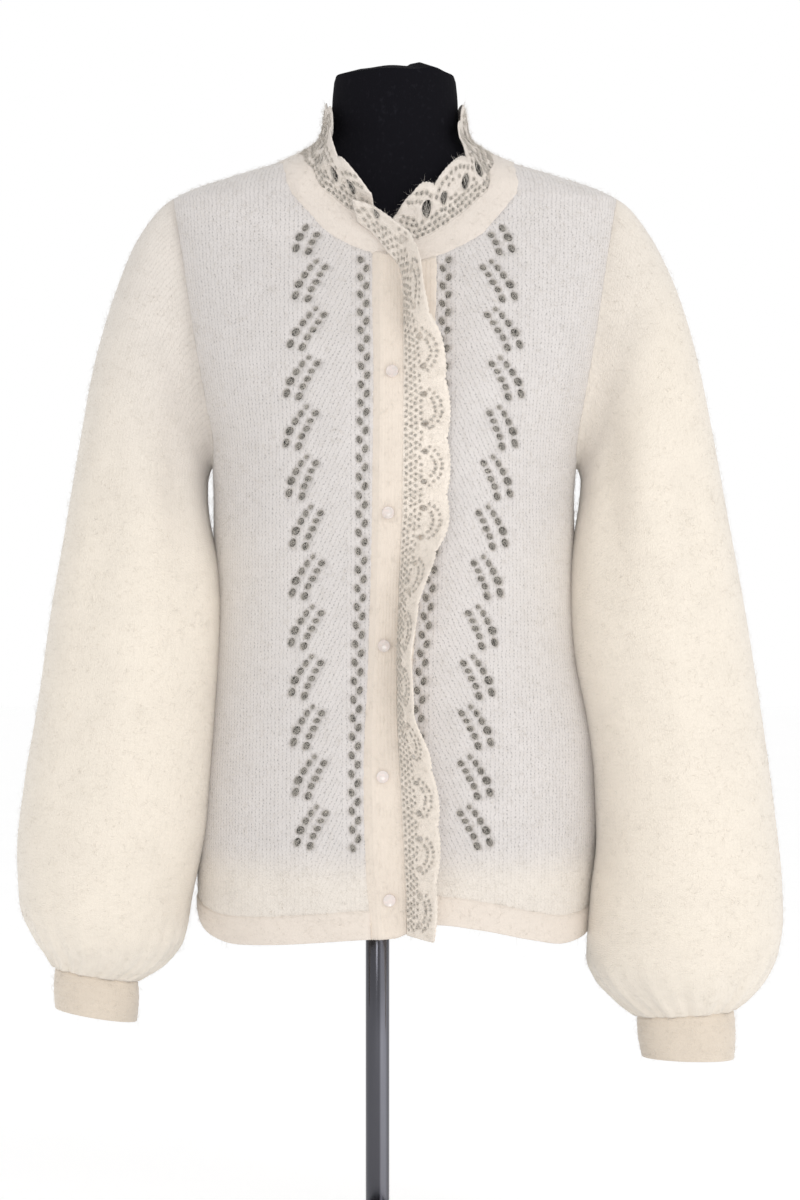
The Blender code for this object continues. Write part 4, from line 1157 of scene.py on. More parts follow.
# Painted shade: the hem lies below the form and is greyed as if the cardigan's dim inside showed through
HEM_SHADE = 0.2
NECK_BAND = 0.020
NECK_PLUMP = 0.0005
NECK_RIDGE = 0.00003
NECK_RIDGES = 6
NECK_GRID = (420, 44)
NECK_BEHIND = 0.35
PLACKET_SIZE = (0.028, 0.535)
PLACKET_RIB = 0.00012
PLACKET_ROWS = 200


def sewn_lift(distance):
    """How high a band lies at a distance from its seam, where it dips under the cloth beside it."""
    return BAND_LIFT - BAND_DIP * (1 - smooth_step(distance, -TUCK, TUCK))


def knit_hem(name, node, start, end):
    """The folded hem, plump between its fold and the line of stitches that closes it."""
    def place(flat):
        degrees = np.degrees(flat[:, 0] / FLAT_RADIUS)
        return body(degrees, hem_height(degrees) + flat[:, 1], sewn_lift(HEM_BAND - flat[:, 1]))

    def plump(flat):
        share = flat[:, 1] / HEM_BAND
        return HEM_PLUMP * np.sin(np.pi * np.clip(share, 0, 1)) ** 0.6

    us = spaced(math.radians(start) * FLAT_RADIUS, math.radians(end) * FLAT_RADIUS,
                math.radians(end - start) * FLAT_RADIUS)
    flat, faces = grid(us, np.linspace(0, HEM_BAND + TUCK, HEM_ROWS))
    degrees = np.degrees(flat[:, 0] / FLAT_RADIUS)
    metres = np.stack((ROUND.length(degrees, hem_height(degrees)), flat[:, 1]), axis=-1)
    piece = cloth_piece(
        name, flat, faces, place, BAND_WALL, band_material(), lip=BAND_LIP, relief=plump,
        corner_uv=metres[faces], behind=HEM_SHADE,
    )
    finish_cloth(piece, node)


def knit_neck_band(name, node):
    """The band round the neck, its right end lying over its left end in front."""
    def place(flat):
        degrees = np.degrees(flat[:, 0] / FLAT_RADIUS)
        low = neck_height(degrees)
        height = low + flat[:, 1] / NECK_BAND * (band_top(degrees) - low)
        free = smooth_step(flat[:, 1], 0.0, NECK_BAND * 0.5)
        return body(degrees, height, overlap_lift(degrees) * free + sewn_lift(flat[:, 1]))

    def rows(flat):
        share = flat[:, 1] / NECK_BAND
        plump = NECK_PLUMP * np.sin(np.pi * np.clip(share, 0, 1))
        return plump + NECK_RIDGE * np.cos(2 * np.pi * NECK_RIDGES * share)

    us = np.radians(np.linspace(NECK_START, NECK_END, NECK_GRID[0])) * FLAT_RADIUS
    flat, faces = grid(us, np.linspace(-TUCK, NECK_BAND, NECK_GRID[1]))
    piece = cloth_piece(
        name, flat, faces, place, BAND_WALL, band_material(), lip=BAND_LIP, relief=rows, behind=NECK_BEHIND,
    )
    finish_cloth(piece, node)


def top_placket_edges(height):
    """Both edges of the top placket at a height."""
    return read(RIGHT_FRONT, height)[0], read(PLACKET_EDGE, height)[0]


def under_placket_edges(height):
    """Both edges of the lower placket at a height."""
    seam = read(LEFT_FRONT, height)[0]
    return np.maximum(seam - UNDER_PLACKET, read(RIGHT_FRONT, height)[0] + 5 * LAYER_GAP), seam


def knit_placket(name, node, edges, lift, sewn_left, top_tuck, ribs):
    """A ribbed placket between the edges that edges(height) gives, rising by lift from its sewn edge."""
    width, length = PLACKET_SIZE
    low, high = LEFT_FRONT[0][0], NECKLINE[0][1]

    def place(flat):
        share, v = flat[:, 0] / width, flat[:, 1] / length
        left, right = edges(low + (high - low) * v)
        across = left + (right - left) * share
        bottom = hem_height(angle_across(across, low))
        top = neck_height(angle_across(across, high)) + top_tuck
        height = bottom + (top - bottom) * v
        distance = flat[:, 0] if sewn_left else width - flat[:, 0]
        raised = sewn_lift(distance) + lift * smooth_step(distance, 0.0, 0.3 * width)
        return body(angle_across(across, height), height, raised)

    def ribbed(flat):
        share = flat[:, 0] / width
        return PLACKET_RIB * np.cos(2 * np.pi * ribs * share) * np.sin(np.pi * np.clip(share, 0, 1)) ** 0.3

    first, last = (-TUCK, width) if sewn_left else (0.0, width + TUCK)
    flat, faces = grid(np.linspace(first, last, ribs * 8 + 5), np.linspace(0, length, PLACKET_ROWS))
    piece = cloth_piece(name, flat, faces, place, KNIT_WALL, band_material(), lip=BAND_LIP, relief=ribbed)
    finish_cloth(piece, node)


# Crochet edging

LACE_EDGE_STEP = 0.0025
LACE_END_STEP = 0.0015
LACE_END_GAP = 0.003
LACE_APART = 0.0007
LACE_CLEAR = 0.0012
HOLE_SPREAD = (0.80, 1.1)
FAN_HOLE_TALL = 1.15
# Openness of the leaf holes and of the net, and where in a scallop the strip ends
COLLAR_OPEN = (1.25, 0.88)
COLLAR_PHASE = 0.72
COLLAR_BEHIND = 0.3
EDGING_OPEN = (0.60, 0.52)
EDGING_PHASE = 0.0
EDGING_BEHIND = 0.25
EDGING_FADE = (0.01, 0.06)


def lace_outline(length, across, repeats, depth, start, finish):
    """A strip whose free edge is a row of round scallops with small picots."""
    sewn = spaced(0, length, length, LACE_EDGE_STEP)
    along = np.linspace(0, length, int(repeats * PICOTS * 4) + 1)
    t = along / length * repeats % 1.0
    dip = depth * (1 - np.sin(np.pi * t) ** 0.6)
    free = across - dip - PICOT * np.abs(np.cos(np.pi * PICOTS * t)) ** 2
    free = free * read(start, along)[0] * read(finish, length - along)[0]
    lower = np.stack((sewn, np.zeros_like(sewn)), axis=-1)
    upper = np.stack((along, free), axis=-1)[::-1]
    last, first = (spaced(0, width, width, LACE_END_STEP)[1:-1] for width in (free[-1], free[0]))
    end = np.stack((np.full_like(last, length), last), axis=-1)
    begin = np.stack((np.zeros_like(first), first[::-1]), axis=-1)
    return np.concatenate((lower, end, upper, begin))


def lace_holes(outline, length, across, repeats, openness):
    """Leaf holes, fans and a net along the foot, each clear of the others and of the edge."""
    repeat = length / repeats
    size = (across / COLLAR_LACE) ** 0.5
    leaf_size, net_size = openness
    wanted = []
    rng = np.random.default_rng(math.ceil(repeats))
    for i in range(math.ceil(repeats)):
        middle = (i + 0.5) * repeat
        beside, share, width, tall = LACE_LEAF
        for side in (-1, 1):
            leaf = round_hole(width, tall * size, 10)
            leaf[:, 0] *= 0.62 + 0.76 * (leaf[:, 1] / (tall * size) + 0.5) ** 0.8
            wanted.append((np.array((middle + side * beside, share * across)), leaf * leaf_size))
        for radius, reach, count, hole in LACE_FAN:
            for degrees in np.linspace(-reach, reach, count):
                turn = math.radians(degrees)
                rise = LACE_FAN_FOOT + radius * math.cos(turn)
                spot = np.array((middle + radius * across * math.sin(turn), rise * across))
                wanted.append((spot, round_hole(hole * size, hole * size * FAN_HOLE_TALL, 8) * net_size))
    for share, shift, hole in LACE_NET:
        first = LACE_NET_PITCH * (0.5 + shift)
        for place in np.arange(first, length - LACE_END_GAP, LACE_NET_PITCH):
            spot = np.array((place, share * across))
            wanted.append((spot, round_hole(hole, hole * size, 8) * net_size))
    kept, spots, reaches = [], [], []
    for spot, shape in wanted:
        spot = spot + rng.normal(0.0, HAND_WORK, 2)
        shape = shape * rng.uniform(*HOLE_SPREAD)
        reach = np.linalg.norm(shape, axis=1).max()
        apart = [np.linalg.norm(spot - other) - reach - far for other, far in zip(spots, reaches)]
        clear = np.linalg.norm(outline - spot, axis=1).min() - reach
        fits = min(apart, default=1.0) > LACE_APART and clear > LACE_CLEAR
        if fits and inside(spot[None], outline)[0]:
            kept.append(spot + shape)
            spots.append(spot)
            reaches.append(reach)
    return kept


def crochet(name, node, length, across, depth, ends, openness, end_phase, place, behind):
    """A strip of lace; behind(length along it) is how much of the form shows through."""
    repeats = round(length / SCALLOP) + end_phase
    outline = lace_outline(length, across, repeats, depth, *ends)
    holes = lace_holes(outline, length, across, repeats, openness)
    EYELETS[name] = (place, holes)
    flat, faces = cut_pattern(outline, holes, LACE_STEP)
    piece = cloth_piece(
        name, flat, faces, place, LACE_WALL, lace_material(), lip=LACE_LIP, behind=behind(flat[:, 0]),
    )
    finish_cloth(piece, node)


def collar_place(flat):
    """The collar stands on the neckband and leans out towards its free edge."""
    u, v = flat[:, 0], flat[:, 1]
    degrees = angle_along_neck(u)
    foot = band_top(degrees) - TUCK
    start = oval(degrees, foot)
    bearing = np.arctan2(start[:, 0] - CENTRE_X, -start[:, 1])
    lean = np.radians(read(COLLAR_LEAN, degrees)[0]) * np.minimum(1.0, 0.35 + v / COLLAR_LACE)
    height = foot + v * np.cos(lean) * (1.0 - 0.1 * np.sin(bearing) ** 2)
    point = oval(neck_angle(bearing, height), height)
    away = np.stack((np.sin(bearing), -np.cos(bearing), np.zeros_like(bearing)), axis=-1)
    lifted = body(degrees, foot, overlap_lift(degrees)) - start
    return point + away * (v * np.sin(lean))[:, None] + lifted


def front_lace_place(flat):
    """The edging crosses the neckband's end and runs down the top placket's free edge."""
    u, v = flat[:, 0], flat[:, 1]
    height = FRONT_LACE[-1][0] - u
    seam, turn, lean, lift = read(FRONT_LACE, height)
    seam = seam - TUCK
    turn, lean = np.radians(turn), np.radians(lean)
    reach = v * np.cos(lean)
    height = height + reach * np.cos(turn)
    return body(angle_across(seam + reach * np.sin(turn), height), height, lift + v * np.sin(lean))


# Sleeves and cuffs

RING_SPREAD = 1.1
FOLD_FADE = 1.6
GATHER_RING = 0.7
TUCKED_RINGS = 0.2
GREY_START = 0.3
# Metres of knitting round and along a sleeve, for its stitches
SLEEVE_KNIT = (0.420, 0.62)
CUFF_KNIT = 0.034
CUFF_SIDES = 120
CUFF_RINGS = 40
# Each sleeve's grey at the shoulder and the ring where it has faded: partly the form seen through near the
# armhole, partly painted shade, heavier on the right sleeve, which is turned from the light
RIGHT_GREY_AND_SHADE = (0.55, 5.5)
LEFT_GREY_AND_SHADE = (0.30, 2.8)


def sleeve_rings(table, nestle, side):
    """Rings of a sleeve, from the armhole into slanting ovals, folded and gathered into the cuff."""
    last = table[-1][0]
    stations = last * np.linspace(0, 1, SLEEVE_RINGS) ** RING_SPREAD
    columns = (column[:, None] for column in read(table, stations))
    outer_x, outer_z, inner_x, inner_z, depth, middle_y = columns
    turn = 2 * np.pi * np.arange(SLEEVE_SIDES)[None] / SLEEVE_SIDES
    cosine, sine = np.cos(turn), np.sin(turn)
    station = stations[:, None]
    inner_x = inner_x - side * read(nestle, stations)[0][:, None]
    fold = np.zeros((SLEEVE_RINGS, SLEEVE_SIDES))
    for degrees, deepest, ring, span in SLEEVE_FOLDS:
        beside = (np.degrees(turn) - degrees) / FOLD_WIDTH
        fold += deepest * np.exp(-beside ** 2 - ((station - ring) / span * FOLD_FADE) ** 2)
    gather = np.maximum(0.0, 1 - np.abs(last - GATHER_RING - station) / GATHER_RINGS)
    fine = FINE_GATHER * np.cos(FINE_GATHERS * turn + station)
    waves = GATHER_DEPTH * np.cos(SLEEVE_GATHERS * turn) + fine
    pucker = 1 + (gather * waves - fold) / depth
    free = np.stack((
        CENTRE_X + (outer_x + inner_x) / 2 + (outer_x - inner_x) / 2 * cosine * pucker,
        middle_y - depth * sine * pucker,
        (outer_z + inner_z) / 2 + (outer_z - inner_z) / 2 * cosine + 0 * fold,
    ), axis=-1)
    under = TUCK * (1 - smooth_step(station, 0.0, TUCKED_RINGS))
    middle, half = (ARMPIT + SHOULDER_TIP) / 2, (SHOULDER_TIP - ARMPIT) / 2 + under
    reach = np.where(sine > 0, ARMHOLE_FRONT, ARMHOLE_BACK) + np.degrees(under / FLAT_RADIUS)
    turned = side * (90 - reach * signed_power(sine, ARMHOLE_ROUND))
    sewn = body(turned, middle + half * cosine, SEAM_GAP - under + 0 * turned)
    share = smooth_step(station, 0.0, ARMHOLE_BLEND)[..., None]
    return sewn * (1 - share) + free * share, stations


def knit_sleeve(name, node, table, nestle, side, grey_and_shade):
    """A sleeve, greyed from the shoulder downwards partly by the form behind its armhole and partly by
    painted shade.
    """
    rings, stations = sleeve_rings(table, nestle, side)
    grey, grey_end = grey_and_shade
    # The grey is partly the form behind the armhole and partly painted shade
    behind = np.repeat(grey * (1 - smooth_step(stations, GREY_START, grey_end)), SLEEVE_SIDES)
    piece = tube_piece(name, rings, KNIT_WALL, knit_material(), *SLEEVE_KNIT, side, behind)
    finish_cloth(piece, node)


def knit_cuff(name, node, table, end, side, flat_size):
    """A straight cuff with faint ridges, its upper edge tucked into the sleeve."""
    top, depth, middle_y = table[-1][1:5], table[-1][5], table[-1][6]
    share = np.linspace(-CUFF_TUCK, 1, CUFF_RINGS)[:, None]
    turn = 2 * np.pi * np.arange(CUFF_SIDES)[None] / CUFF_SIDES
    rippled = CUFF_RIDGE * np.cos(2 * np.pi * CUFF_RIDGES * share)
    ridges = CUFF_BULGE * np.sin(np.pi * share) + rippled
    tucked = BAND_DIP * (1 - smooth_step(share, -CUFF_TUCK, CUFF_TUCK))
    bulge = 1 + (ridges - tucked) / depth
    outer_x, outer_z, inner_x, inner_z = (a + (b - a) * share for a, b in zip(top, end))
    rings = np.stack((
        CENTRE_X + (outer_x + inner_x) / 2 + (outer_x - inner_x) / 2 * np.cos(turn) * bulge,
        middle_y - depth * np.sin(turn) * bulge,
        (outer_z + inner_z) / 2 + (outer_z - inner_z) / 2 * np.cos(turn) + 0 * bulge,
    ), axis=-1)
    piece = tube_piece(name, rings, BAND_WALL, cuff_material(), flat_size[0], CUFF_KNIT, side)
    finish_cloth(piece, node)


# Buttons, form and stand

# Shares of a button's width or depth
BUTTON_SINK = 0.38
BUTTON_RIM = (0.14, 0.16)
BUTTON_DISH = (0.16, 0.10)
BUTTON_EDGE = 0.22
BUTTON_FUZZ = 1.2
# Uneven top of the form's neck: ripple, how far it sinks, and its peak's height, bearing and width
NECK_RIPPLE = 0.0005
NECK_SINK = 0.0024
NECK_PEAK = (0.0042, 40, 13)
FORM_SIDES = 112
FORM_RINGS = 110
FORM_SHOULDER = 0.845
FORM_SHOULDER_SHARE = 0.78
FORM_CAP_INSET = 0.35
FORM_EDGE = 0.006
POLE_EDGE = 0.0006
# Shares of the base's radius or depth
BASE_STEP = (0.06, 0.05)
BASE_EDGE = 0.28


def clear_selection():
    """Leaves edit mode with nothing selected."""
    if bpy.context.mode != "OBJECT":
        bpy.ops.object.mode_set(mode="OBJECT")
    bpy.ops.object.select_all(action="DESELECT")


def select_faces(piece, wanted):
    """Selects, in edit mode, the faces whose middle and normal satisfy a test."""
    bpy.ops.object.mode_set(mode="OBJECT")
    for part in (piece.data.vertices, piece.data.edges, piece.data.polygons):
        part.foreach_set("select", [False] * len(part))
    for face in piece.data.polygons:
        face.select = wanted(face.center, face.normal)
    bpy.ops.object.mode_set(mode="EDIT")
    bpy.ops.mesh.select_mode(type="FACE")


def add_modifier(piece, kind, **settings):
    """Adds a modifier to the active piece and applies it."""
    made = piece.modifiers.new(kind.title(), kind)
    for name, value in settings.items():
        setattr(made, name, value)
    bpy.ops.object.modifier_apply(modifier=made.name)


def finish_hard(piece, name, node, material):
    """Leaves a modelled piece at the origin, with its node's place and finish."""
    bpy.ops.object.transform_apply(location=True, rotation=True, scale=True)
    piece.name = piece.data.name = name
    piece.data.materials.clear()
    piece.data.materials.append(material)
    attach(piece, "root")
    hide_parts(node)


def model_button(name, node, across, height, material):
    """A low disc with a raised rim and a shallow dish."""
    clear_selection()
    angle = angle_across(across, height)
    lift = LAYER_GAP + BAND_WALL + BUTTON_DEPTH * BUTTON_SINK
    facing = Vector(body(angle, height, 1.0) - body(angle, height, 0.0))
    bpy.ops.mesh.primitive_cylinder_add(vertices=40, radius=BUTTON_WIDTH / 2, depth=BUTTON_DEPTH)
    piece = bpy.context.active_object
    select_faces(piece, lambda middle, normal: normal.z > 0.9)
    for inwards, down in (BUTTON_RIM, BUTTON_DISH):
        bpy.ops.mesh.inset(thickness=BUTTON_WIDTH * inwards)
        bpy.ops.transform.translate(value=(0, 0, -BUTTON_DEPTH * down))
    bpy.ops.object.mode_set(mode="OBJECT")
    edge = BUTTON_DEPTH * BUTTON_EDGE
    add_modifier(piece, "BEVEL", width=edge, segments=3, limit_method="ANGLE", angle_limit=0.35)
    piece.location = body(angle, height, lift)
    piece.rotation_euler = facing.to_track_quat("Z", "Y").to_euler()
    bpy.ops.object.shade_smooth_by_angle(angle=math.radians(40))
    finish_hard(piece, name, node, material)


def over_buttons(flat):
    """Flat points just in front of the buttons."""
    return body(*from_flat(flat), LAYER_GAP + BAND_WALL + BUTTON_DEPTH)


def form_surface(degrees, height):
    """Points of the dress form, inside the worn shape by its ease."""
    level = np.minimum(height, NECK_TOP[0][0])
    right, left, front, back, blunt = read(BODY, level)
    beside, before, behind = read(FORM_EASE, level)
    reaches = (right - beside, left - beside, front - before, back - behind)
    across, forwards = blunt_oval(degrees, *reaches, blunt)
    share = read(NECK_TOP, height)[0]
    turn = np.radians(degrees)
    top = smooth_step(height, NECK_TOP[0][0] - 0.004, NECK_TOP[-1][0])
    peak, bearing, wide = NECK_PEAK
    uneven = NECK_RIPPLE * np.sin(5 * turn + 2.0) - NECK_SINK
    uneven = uneven + peak * np.exp(-((degrees - bearing) / wide) ** 2)
    return np.stack((CENTRE_X + across * share, -forwards * share, height + top * uneven), axis=-1)


def model_form(name, node, material):
    """Torso and neck drawn out of a cylinder whose sides are cut into rings."""
    clear_selection()
    bpy.ops.mesh.primitive_cylinder_add(vertices=FORM_SIDES, radius=1.0, depth=1.0, location=(0, 0, 0.5))
    piece = bpy.context.active_object
    bpy.ops.object.transform_apply(location=True)
    bpy.ops.object.mode_set(mode="EDIT")
    bpy.ops.mesh.select_all(action="DESELECT")
    bpy.ops.mesh.select_mode(type="EDGE")
    bpy.ops.object.mode_set(mode="OBJECT")
    for edge in piece.data.edges:
        low, high = (piece.data.vertices[i].co.z for i in edge.vertices)
        edge.select = abs(high - low) > 0.5
    bpy.ops.object.mode_set(mode="EDIT")
    bpy.ops.mesh.subdivide(number_cuts=FORM_RINGS)
    bpy.ops.object.mode_set(mode="OBJECT")
    select_faces(piece, lambda middle, normal: normal.z > 0.9)
    bpy.ops.mesh.inset(thickness=FORM_CAP_INSET)
    bpy.ops.object.mode_set(mode="OBJECT")
    points = np.empty(len(piece.data.vertices) * 3)
    piece.data.vertices.foreach_get("co", points)
    points = points.reshape(-1, 3)
    degrees = np.degrees(np.arctan2(points[:, 0], -points[:, 1]))
    inner = np.hypot(points[:, 0], points[:, 1])[:, None]
    share, shoulder = points[:, 2], FORM_SHOULDER_SHARE
    low = FORM_BOTTOM + (FORM_SHOULDER - FORM_BOTTOM) * share / shoulder
    neck = NECK_TOP[-1][0] - FORM_SHOULDER
    high = FORM_SHOULDER + neck * (share - shoulder) / (1 - shoulder)
    placed = form_surface(degrees, np.where(share < shoulder, low, high))
    middle = np.array((CENTRE_X, 0.0))
    placed[:, :2] = middle + (placed[:, :2] - middle) * np.minimum(inner, 1.0)
    piece.data.vertices.foreach_set("co", placed.ravel())
    piece.data.update()
    select_faces(piece, lambda middle, normal: normal.z < -0.9)
    bpy.ops.mesh.bevel(offset=FORM_EDGE, segments=3, affect="EDGES")
    bpy.ops.object.mode_set(mode="OBJECT")
    bpy.ops.object.shade_smooth_by_angle(angle=math.radians(50))
    finish_hard(piece, name, node, material)


def model_pole(name, node, material):
    """The polished pole between the base and the form."""
    clear_selection()
    low, high = BASE_DEPTH + SEAM_GAP, FORM_BOTTOM - SEAM_GAP
    bpy.ops.mesh.primitive_cylinder_add(
        vertices=72, radius=POLE_RADIUS, depth=high - low, location=(0, 0, (low + high) / 2),
    )
    piece = bpy.context.active_object
    add_modifier(piece, "BEVEL", width=POLE_EDGE, segments=2, limit_method="ANGLE")
    bpy.ops.object.shade_smooth_by_angle(angle=math.radians(40))
    finish_hard(piece, name, node, material)


def model_base(name, node, material):
    """A round plate with a soft rim and a shallow step towards the pole."""
    clear_selection()
    bpy.ops.mesh.primitive_cylinder_add(
        vertices=128, radius=BASE_RADIUS, depth=BASE_DEPTH, location=(0, 0, BASE_DEPTH / 2),
    )
    piece = bpy.context.active_object
    select_faces(piece, lambda middle, normal: normal.z > 0.9)
    bpy.ops.mesh.inset(thickness=BASE_RADIUS * BASE_STEP[0])
    bpy.ops.transform.translate(value=(0, 0, -BASE_DEPTH * BASE_STEP[1]))
    bpy.ops.object.mode_set(mode="OBJECT")
    add_modifier(piece, "BEVEL", width=BASE_DEPTH * BASE_EDGE, segments=4, limit_method="ANGLE")
    bpy.ops.object.shade_smooth_by_angle(angle=math.radians(40))
    finish_hard(piece, name, node, material)


# Mohair fibres

RIM_HAIRS = 0.45
BAND_NAMES = ("folded", "straight_cuff", "ribbed_placket")
HAIR_TURNS = (0.0, 2.1, 4.2)
HAIR_WAIST = 0.75
HAIR_POINTS = 7
ROOT_DEPTH = 0.0004
VEIL_SIDES = 12
VEIL_SAG = 0.0003
VEIL_SPREAD = 0.0005
VEIL_REACH = (1.05, 1.5)
LENGTH_SPREAD = (0.45, 1.25)
LIFT_SPREAD = (0.2, 1.0)
TIP_SPREAD = (0.2, 1.4)
CURL = 0.45


def fibre_seeds(names, count, rng):
    """Points and normals spread over the outer skins of pieces, by area."""
    corners, normals = [], []
    for name in names:
        points, normal, faces = SKINS[name]
        for picked in ((0, 1, 2), (0, 2, 3))[:faces.shape[1] - 2]:
            triangles = faces[:, picked]
            corners.append(points[triangles])
            normals.append(normal[triangles].mean(axis=1))
    corners, normals = np.concatenate(corners), unit(np.concatenate(normals))
    area = np.linalg.norm(np.cross(corners[:, 1] - corners[:, 0], corners[:, 2] - corners[:, 0]), axis=1)
    chosen = rng.choice(len(area), size=count, p=area / area.sum())
    share = np.sort(rng.random((count, 2)), axis=1)
    weights = np.stack((share[:, 0], share[:, 1] - share[:, 0], 1 - share[:, 1]), axis=1)
    return (corners[chosen] * weights[..., None]).sum(axis=1), normals[chosen]


def sum_of(first, second, turn):
    """A direction turned between two others."""
    return first * math.cos(turn) + second * math.sin(turn)


def add_hairs(name, roots, middles, tips, rng, material, fineness=1.0):
    """Bent hairs as one object, each a three-sided spike."""
    count = len(roots)
    ways = unit(tips - roots)
    beside = unit(np.cross(ways, rng.normal(size=(count, 3))))
    above = np.cross(ways, beside)
    thick = bpy.context.scene.cardigan_yarn.fibre_width / 2 * fineness
    ring = [thick * sum_of(beside, above, turn) for turn in HAIR_TURNS]
    low = [roots + step for step in ring]
    mid = [middles + step * HAIR_WAIST for step in ring]
    points = np.stack(low + mid + [tips], axis=1).reshape(-1, 3)
    start = HAIR_POINTS * np.arange(count)[:, None]
    quads = [start + np.array(((i, (i + 1) % 3, 3 + (i + 1) % 3, 3 + i))) for i in range(3)]
    ends = [start + np.array((3 + i, 3 + (i + 1) % 3, 6)) for i in range(3)]
    ends.append(start + np.array((2, 1, 0)))
    mesh = bpy.data.meshes.new(name)
    faces = np.concatenate(quads).tolist() + np.concatenate(ends).tolist()
    mesh.from_pydata(points.tolist(), [], faces)
    mesh.shade_smooth()
    mesh.materials.append(material)
    piece = bpy.data.objects.new(name, mesh)
    bpy.context.scene.collection.objects.link(piece)
    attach(piece, "root")


def veil_holes(name, source, each, fineness, seed, material):
    """Loose hairs lying across every hole of a piece, most of them near its rim."""
    rng = np.random.default_rng(seed)
    place, holes = EYELETS[source]
    picked = np.arange(VEIL_SIDES)
    loops = np.stack([loop[picked * len(loop) // VEIL_SIDES] for loop in holes])
    hole = np.repeat(np.arange(len(loops)), each)
    first = rng.integers(0, VEIL_SIDES, len(hole))
    near_rim = rng.random(len(hole)) < RIM_HAIRS
    stride = np.where(near_rim, rng.integers(2, 5, len(hole)), rng.integers(4, 9, len(hole)))
    second = (first + stride) % VEIL_SIDES
    start, end = loops[hole, first], loops[hole, second]
    middle = (start + end) / 2 + rng.normal(0.0, VEIL_SAG, (len(hole), 2))
    reach = rng.uniform(*VEIL_REACH, (len(hole), 1))
    ends = (middle + (start - middle) * reach, middle, middle + (end - middle) * reach)
    spread = (len(hole), 3)
    roots, middles, tips = (place(flat) + rng.normal(0.0, VEIL_SPREAD, spread) for flat in ends)
    add_hairs(name, roots, middles, tips, rng, material, fineness)


def spin_fibres(name, sources, count, length, rise, seed, material):
    """Fine curled hairs growing out of pieces."""
    rng = np.random.default_rng(seed)
    roots, normals = fibre_seeds(sources, count, rng)
    sideways = unit(np.cross(normals, rng.normal(size=(count, 3))))
    bent = unit(np.cross(normals, sideways))
    long = length * rng.uniform(*LENGTH_SPREAD, (count, 1))
    lift = rise * rng.uniform(*LIFT_SPREAD, (count, 1))
    curl = rng.normal(0.0, CURL, (count, 1))
    first = unit(sideways + normals * lift)
    second = unit(sideways + normals * lift * rng.uniform(*TIP_SPREAD, (count, 1)) + bent * curl)
    middle = roots + first * long * 0.5
    tip = middle + second * long * 0.5
    add_hairs(name, roots - normals * ROOT_DEPTH, middle, tip, rng, material)


# Settings that a user would change

class YarnSettings(bpy.types.PropertyGroup):
    """Colours and sizes of the yarn."""

    colour: FloatVectorProperty(
        name="Yarn", description="Colour of the knitting where nothing lies behind it",
        subtype="COLOR", size=3, min=0.0, max=1.0, default=(0.83, 0.755, 0.655),
    )
    over_form: FloatVectorProperty(
        name="Over the form", description="Colour of the sheer knitting where the dark form lies behind it",
        subtype="COLOR", size=3, min=0.0, max=1.0, default=(0.70, 0.663, 0.645),
    )
    band_colour: FloatVectorProperty(
        name="Bands", description="Colour of the double knit bands and plackets",
        subtype="COLOR", size=3, min=0.0, max=1.0, default=(0.785, 0.695, 0.605),
    )
    # The cuffs' colour is the bands' cream darkened with painted shade
    cuff_painted_shade_colour: FloatVectorProperty(
        name="Cuffs", description="Colour of the shaded cuffs",
        subtype="COLOR", size=3, min=0.0, max=1.0, default=(0.70, 0.612, 0.512),
    )
    lace_colour: FloatVectorProperty(
        name="Crochet", description="Colour of the crochet edging",
        subtype="COLOR", size=3, min=0.0, max=1.0, default=(0.90, 0.815, 0.725),
    )
    fibre_colour: FloatVectorProperty(
        name="Fibres", description="Colour of the loose mohair fibres",
        subtype="COLOR", size=3, min=0.0, max=1.0, default=(0.86, 0.81, 0.74),
    )
    stitch_width: FloatProperty(
        name="Stitch width", description="Width of one knit stitch", subtype="DISTANCE", unit="LENGTH",
        default=0.0035, min=0.001, max=0.02,
    )
    stitch_height: FloatProperty(
        name="Stitch height", description="Height of one knit stitch", subtype="DISTANCE", unit="LENGTH",
        default=0.0028, min=0.001, max=0.02,
    )
    band_stitch: FloatProperty(
        name="Band stitch", description="Width and height of a stitch of the bands", subtype="DISTANCE",
        unit="LENGTH", default=0.0026, min=0.001, max=0.02,
    )
    fibre_length: FloatProperty(
        name="Fibre length", description="Mean length of a loose fibre", subtype="DISTANCE", unit="LENGTH",
        default=0.0095, min=0.001, max=0.05,
    )
    fibre_width: FloatProperty(
        name="Fibre width", description="Thickness of a loose fibre at its root", subtype="DISTANCE",
        unit="LENGTH", default=0.00016, min=0.00002, max=0.001,
    )
    fibre_count: IntProperty(
        name="Fibres", description="Number of loose fibres on each group of pieces",
        default=13000, min=100, max=19000,
    )


class StandSettings(bpy.types.PropertyGroup):
    """Colours of the buttons, the form and its stand."""

    pearl: FloatVectorProperty(
        name="Buttons", description="Colour of the pearly buttons",
        subtype="COLOR", size=3, min=0.0, max=1.0, default=(0.78, 0.67, 0.63),
    )
    jersey: FloatVectorProperty(
        name="Form", description="Colour of the form's jersey cover",
        subtype="COLOR", size=3, min=0.0, max=1.0, default=(0.0065, 0.0062, 0.0085),
    )
    # The stand's dark colour is a painted reflection of dark surroundings
    chrome: FloatVectorProperty(
        name="Stand", description="Colour of the polished pole and base",
        subtype="COLOR", size=3, min=0.0, max=1.0, default=(0.11, 0.11, 0.125),
    )


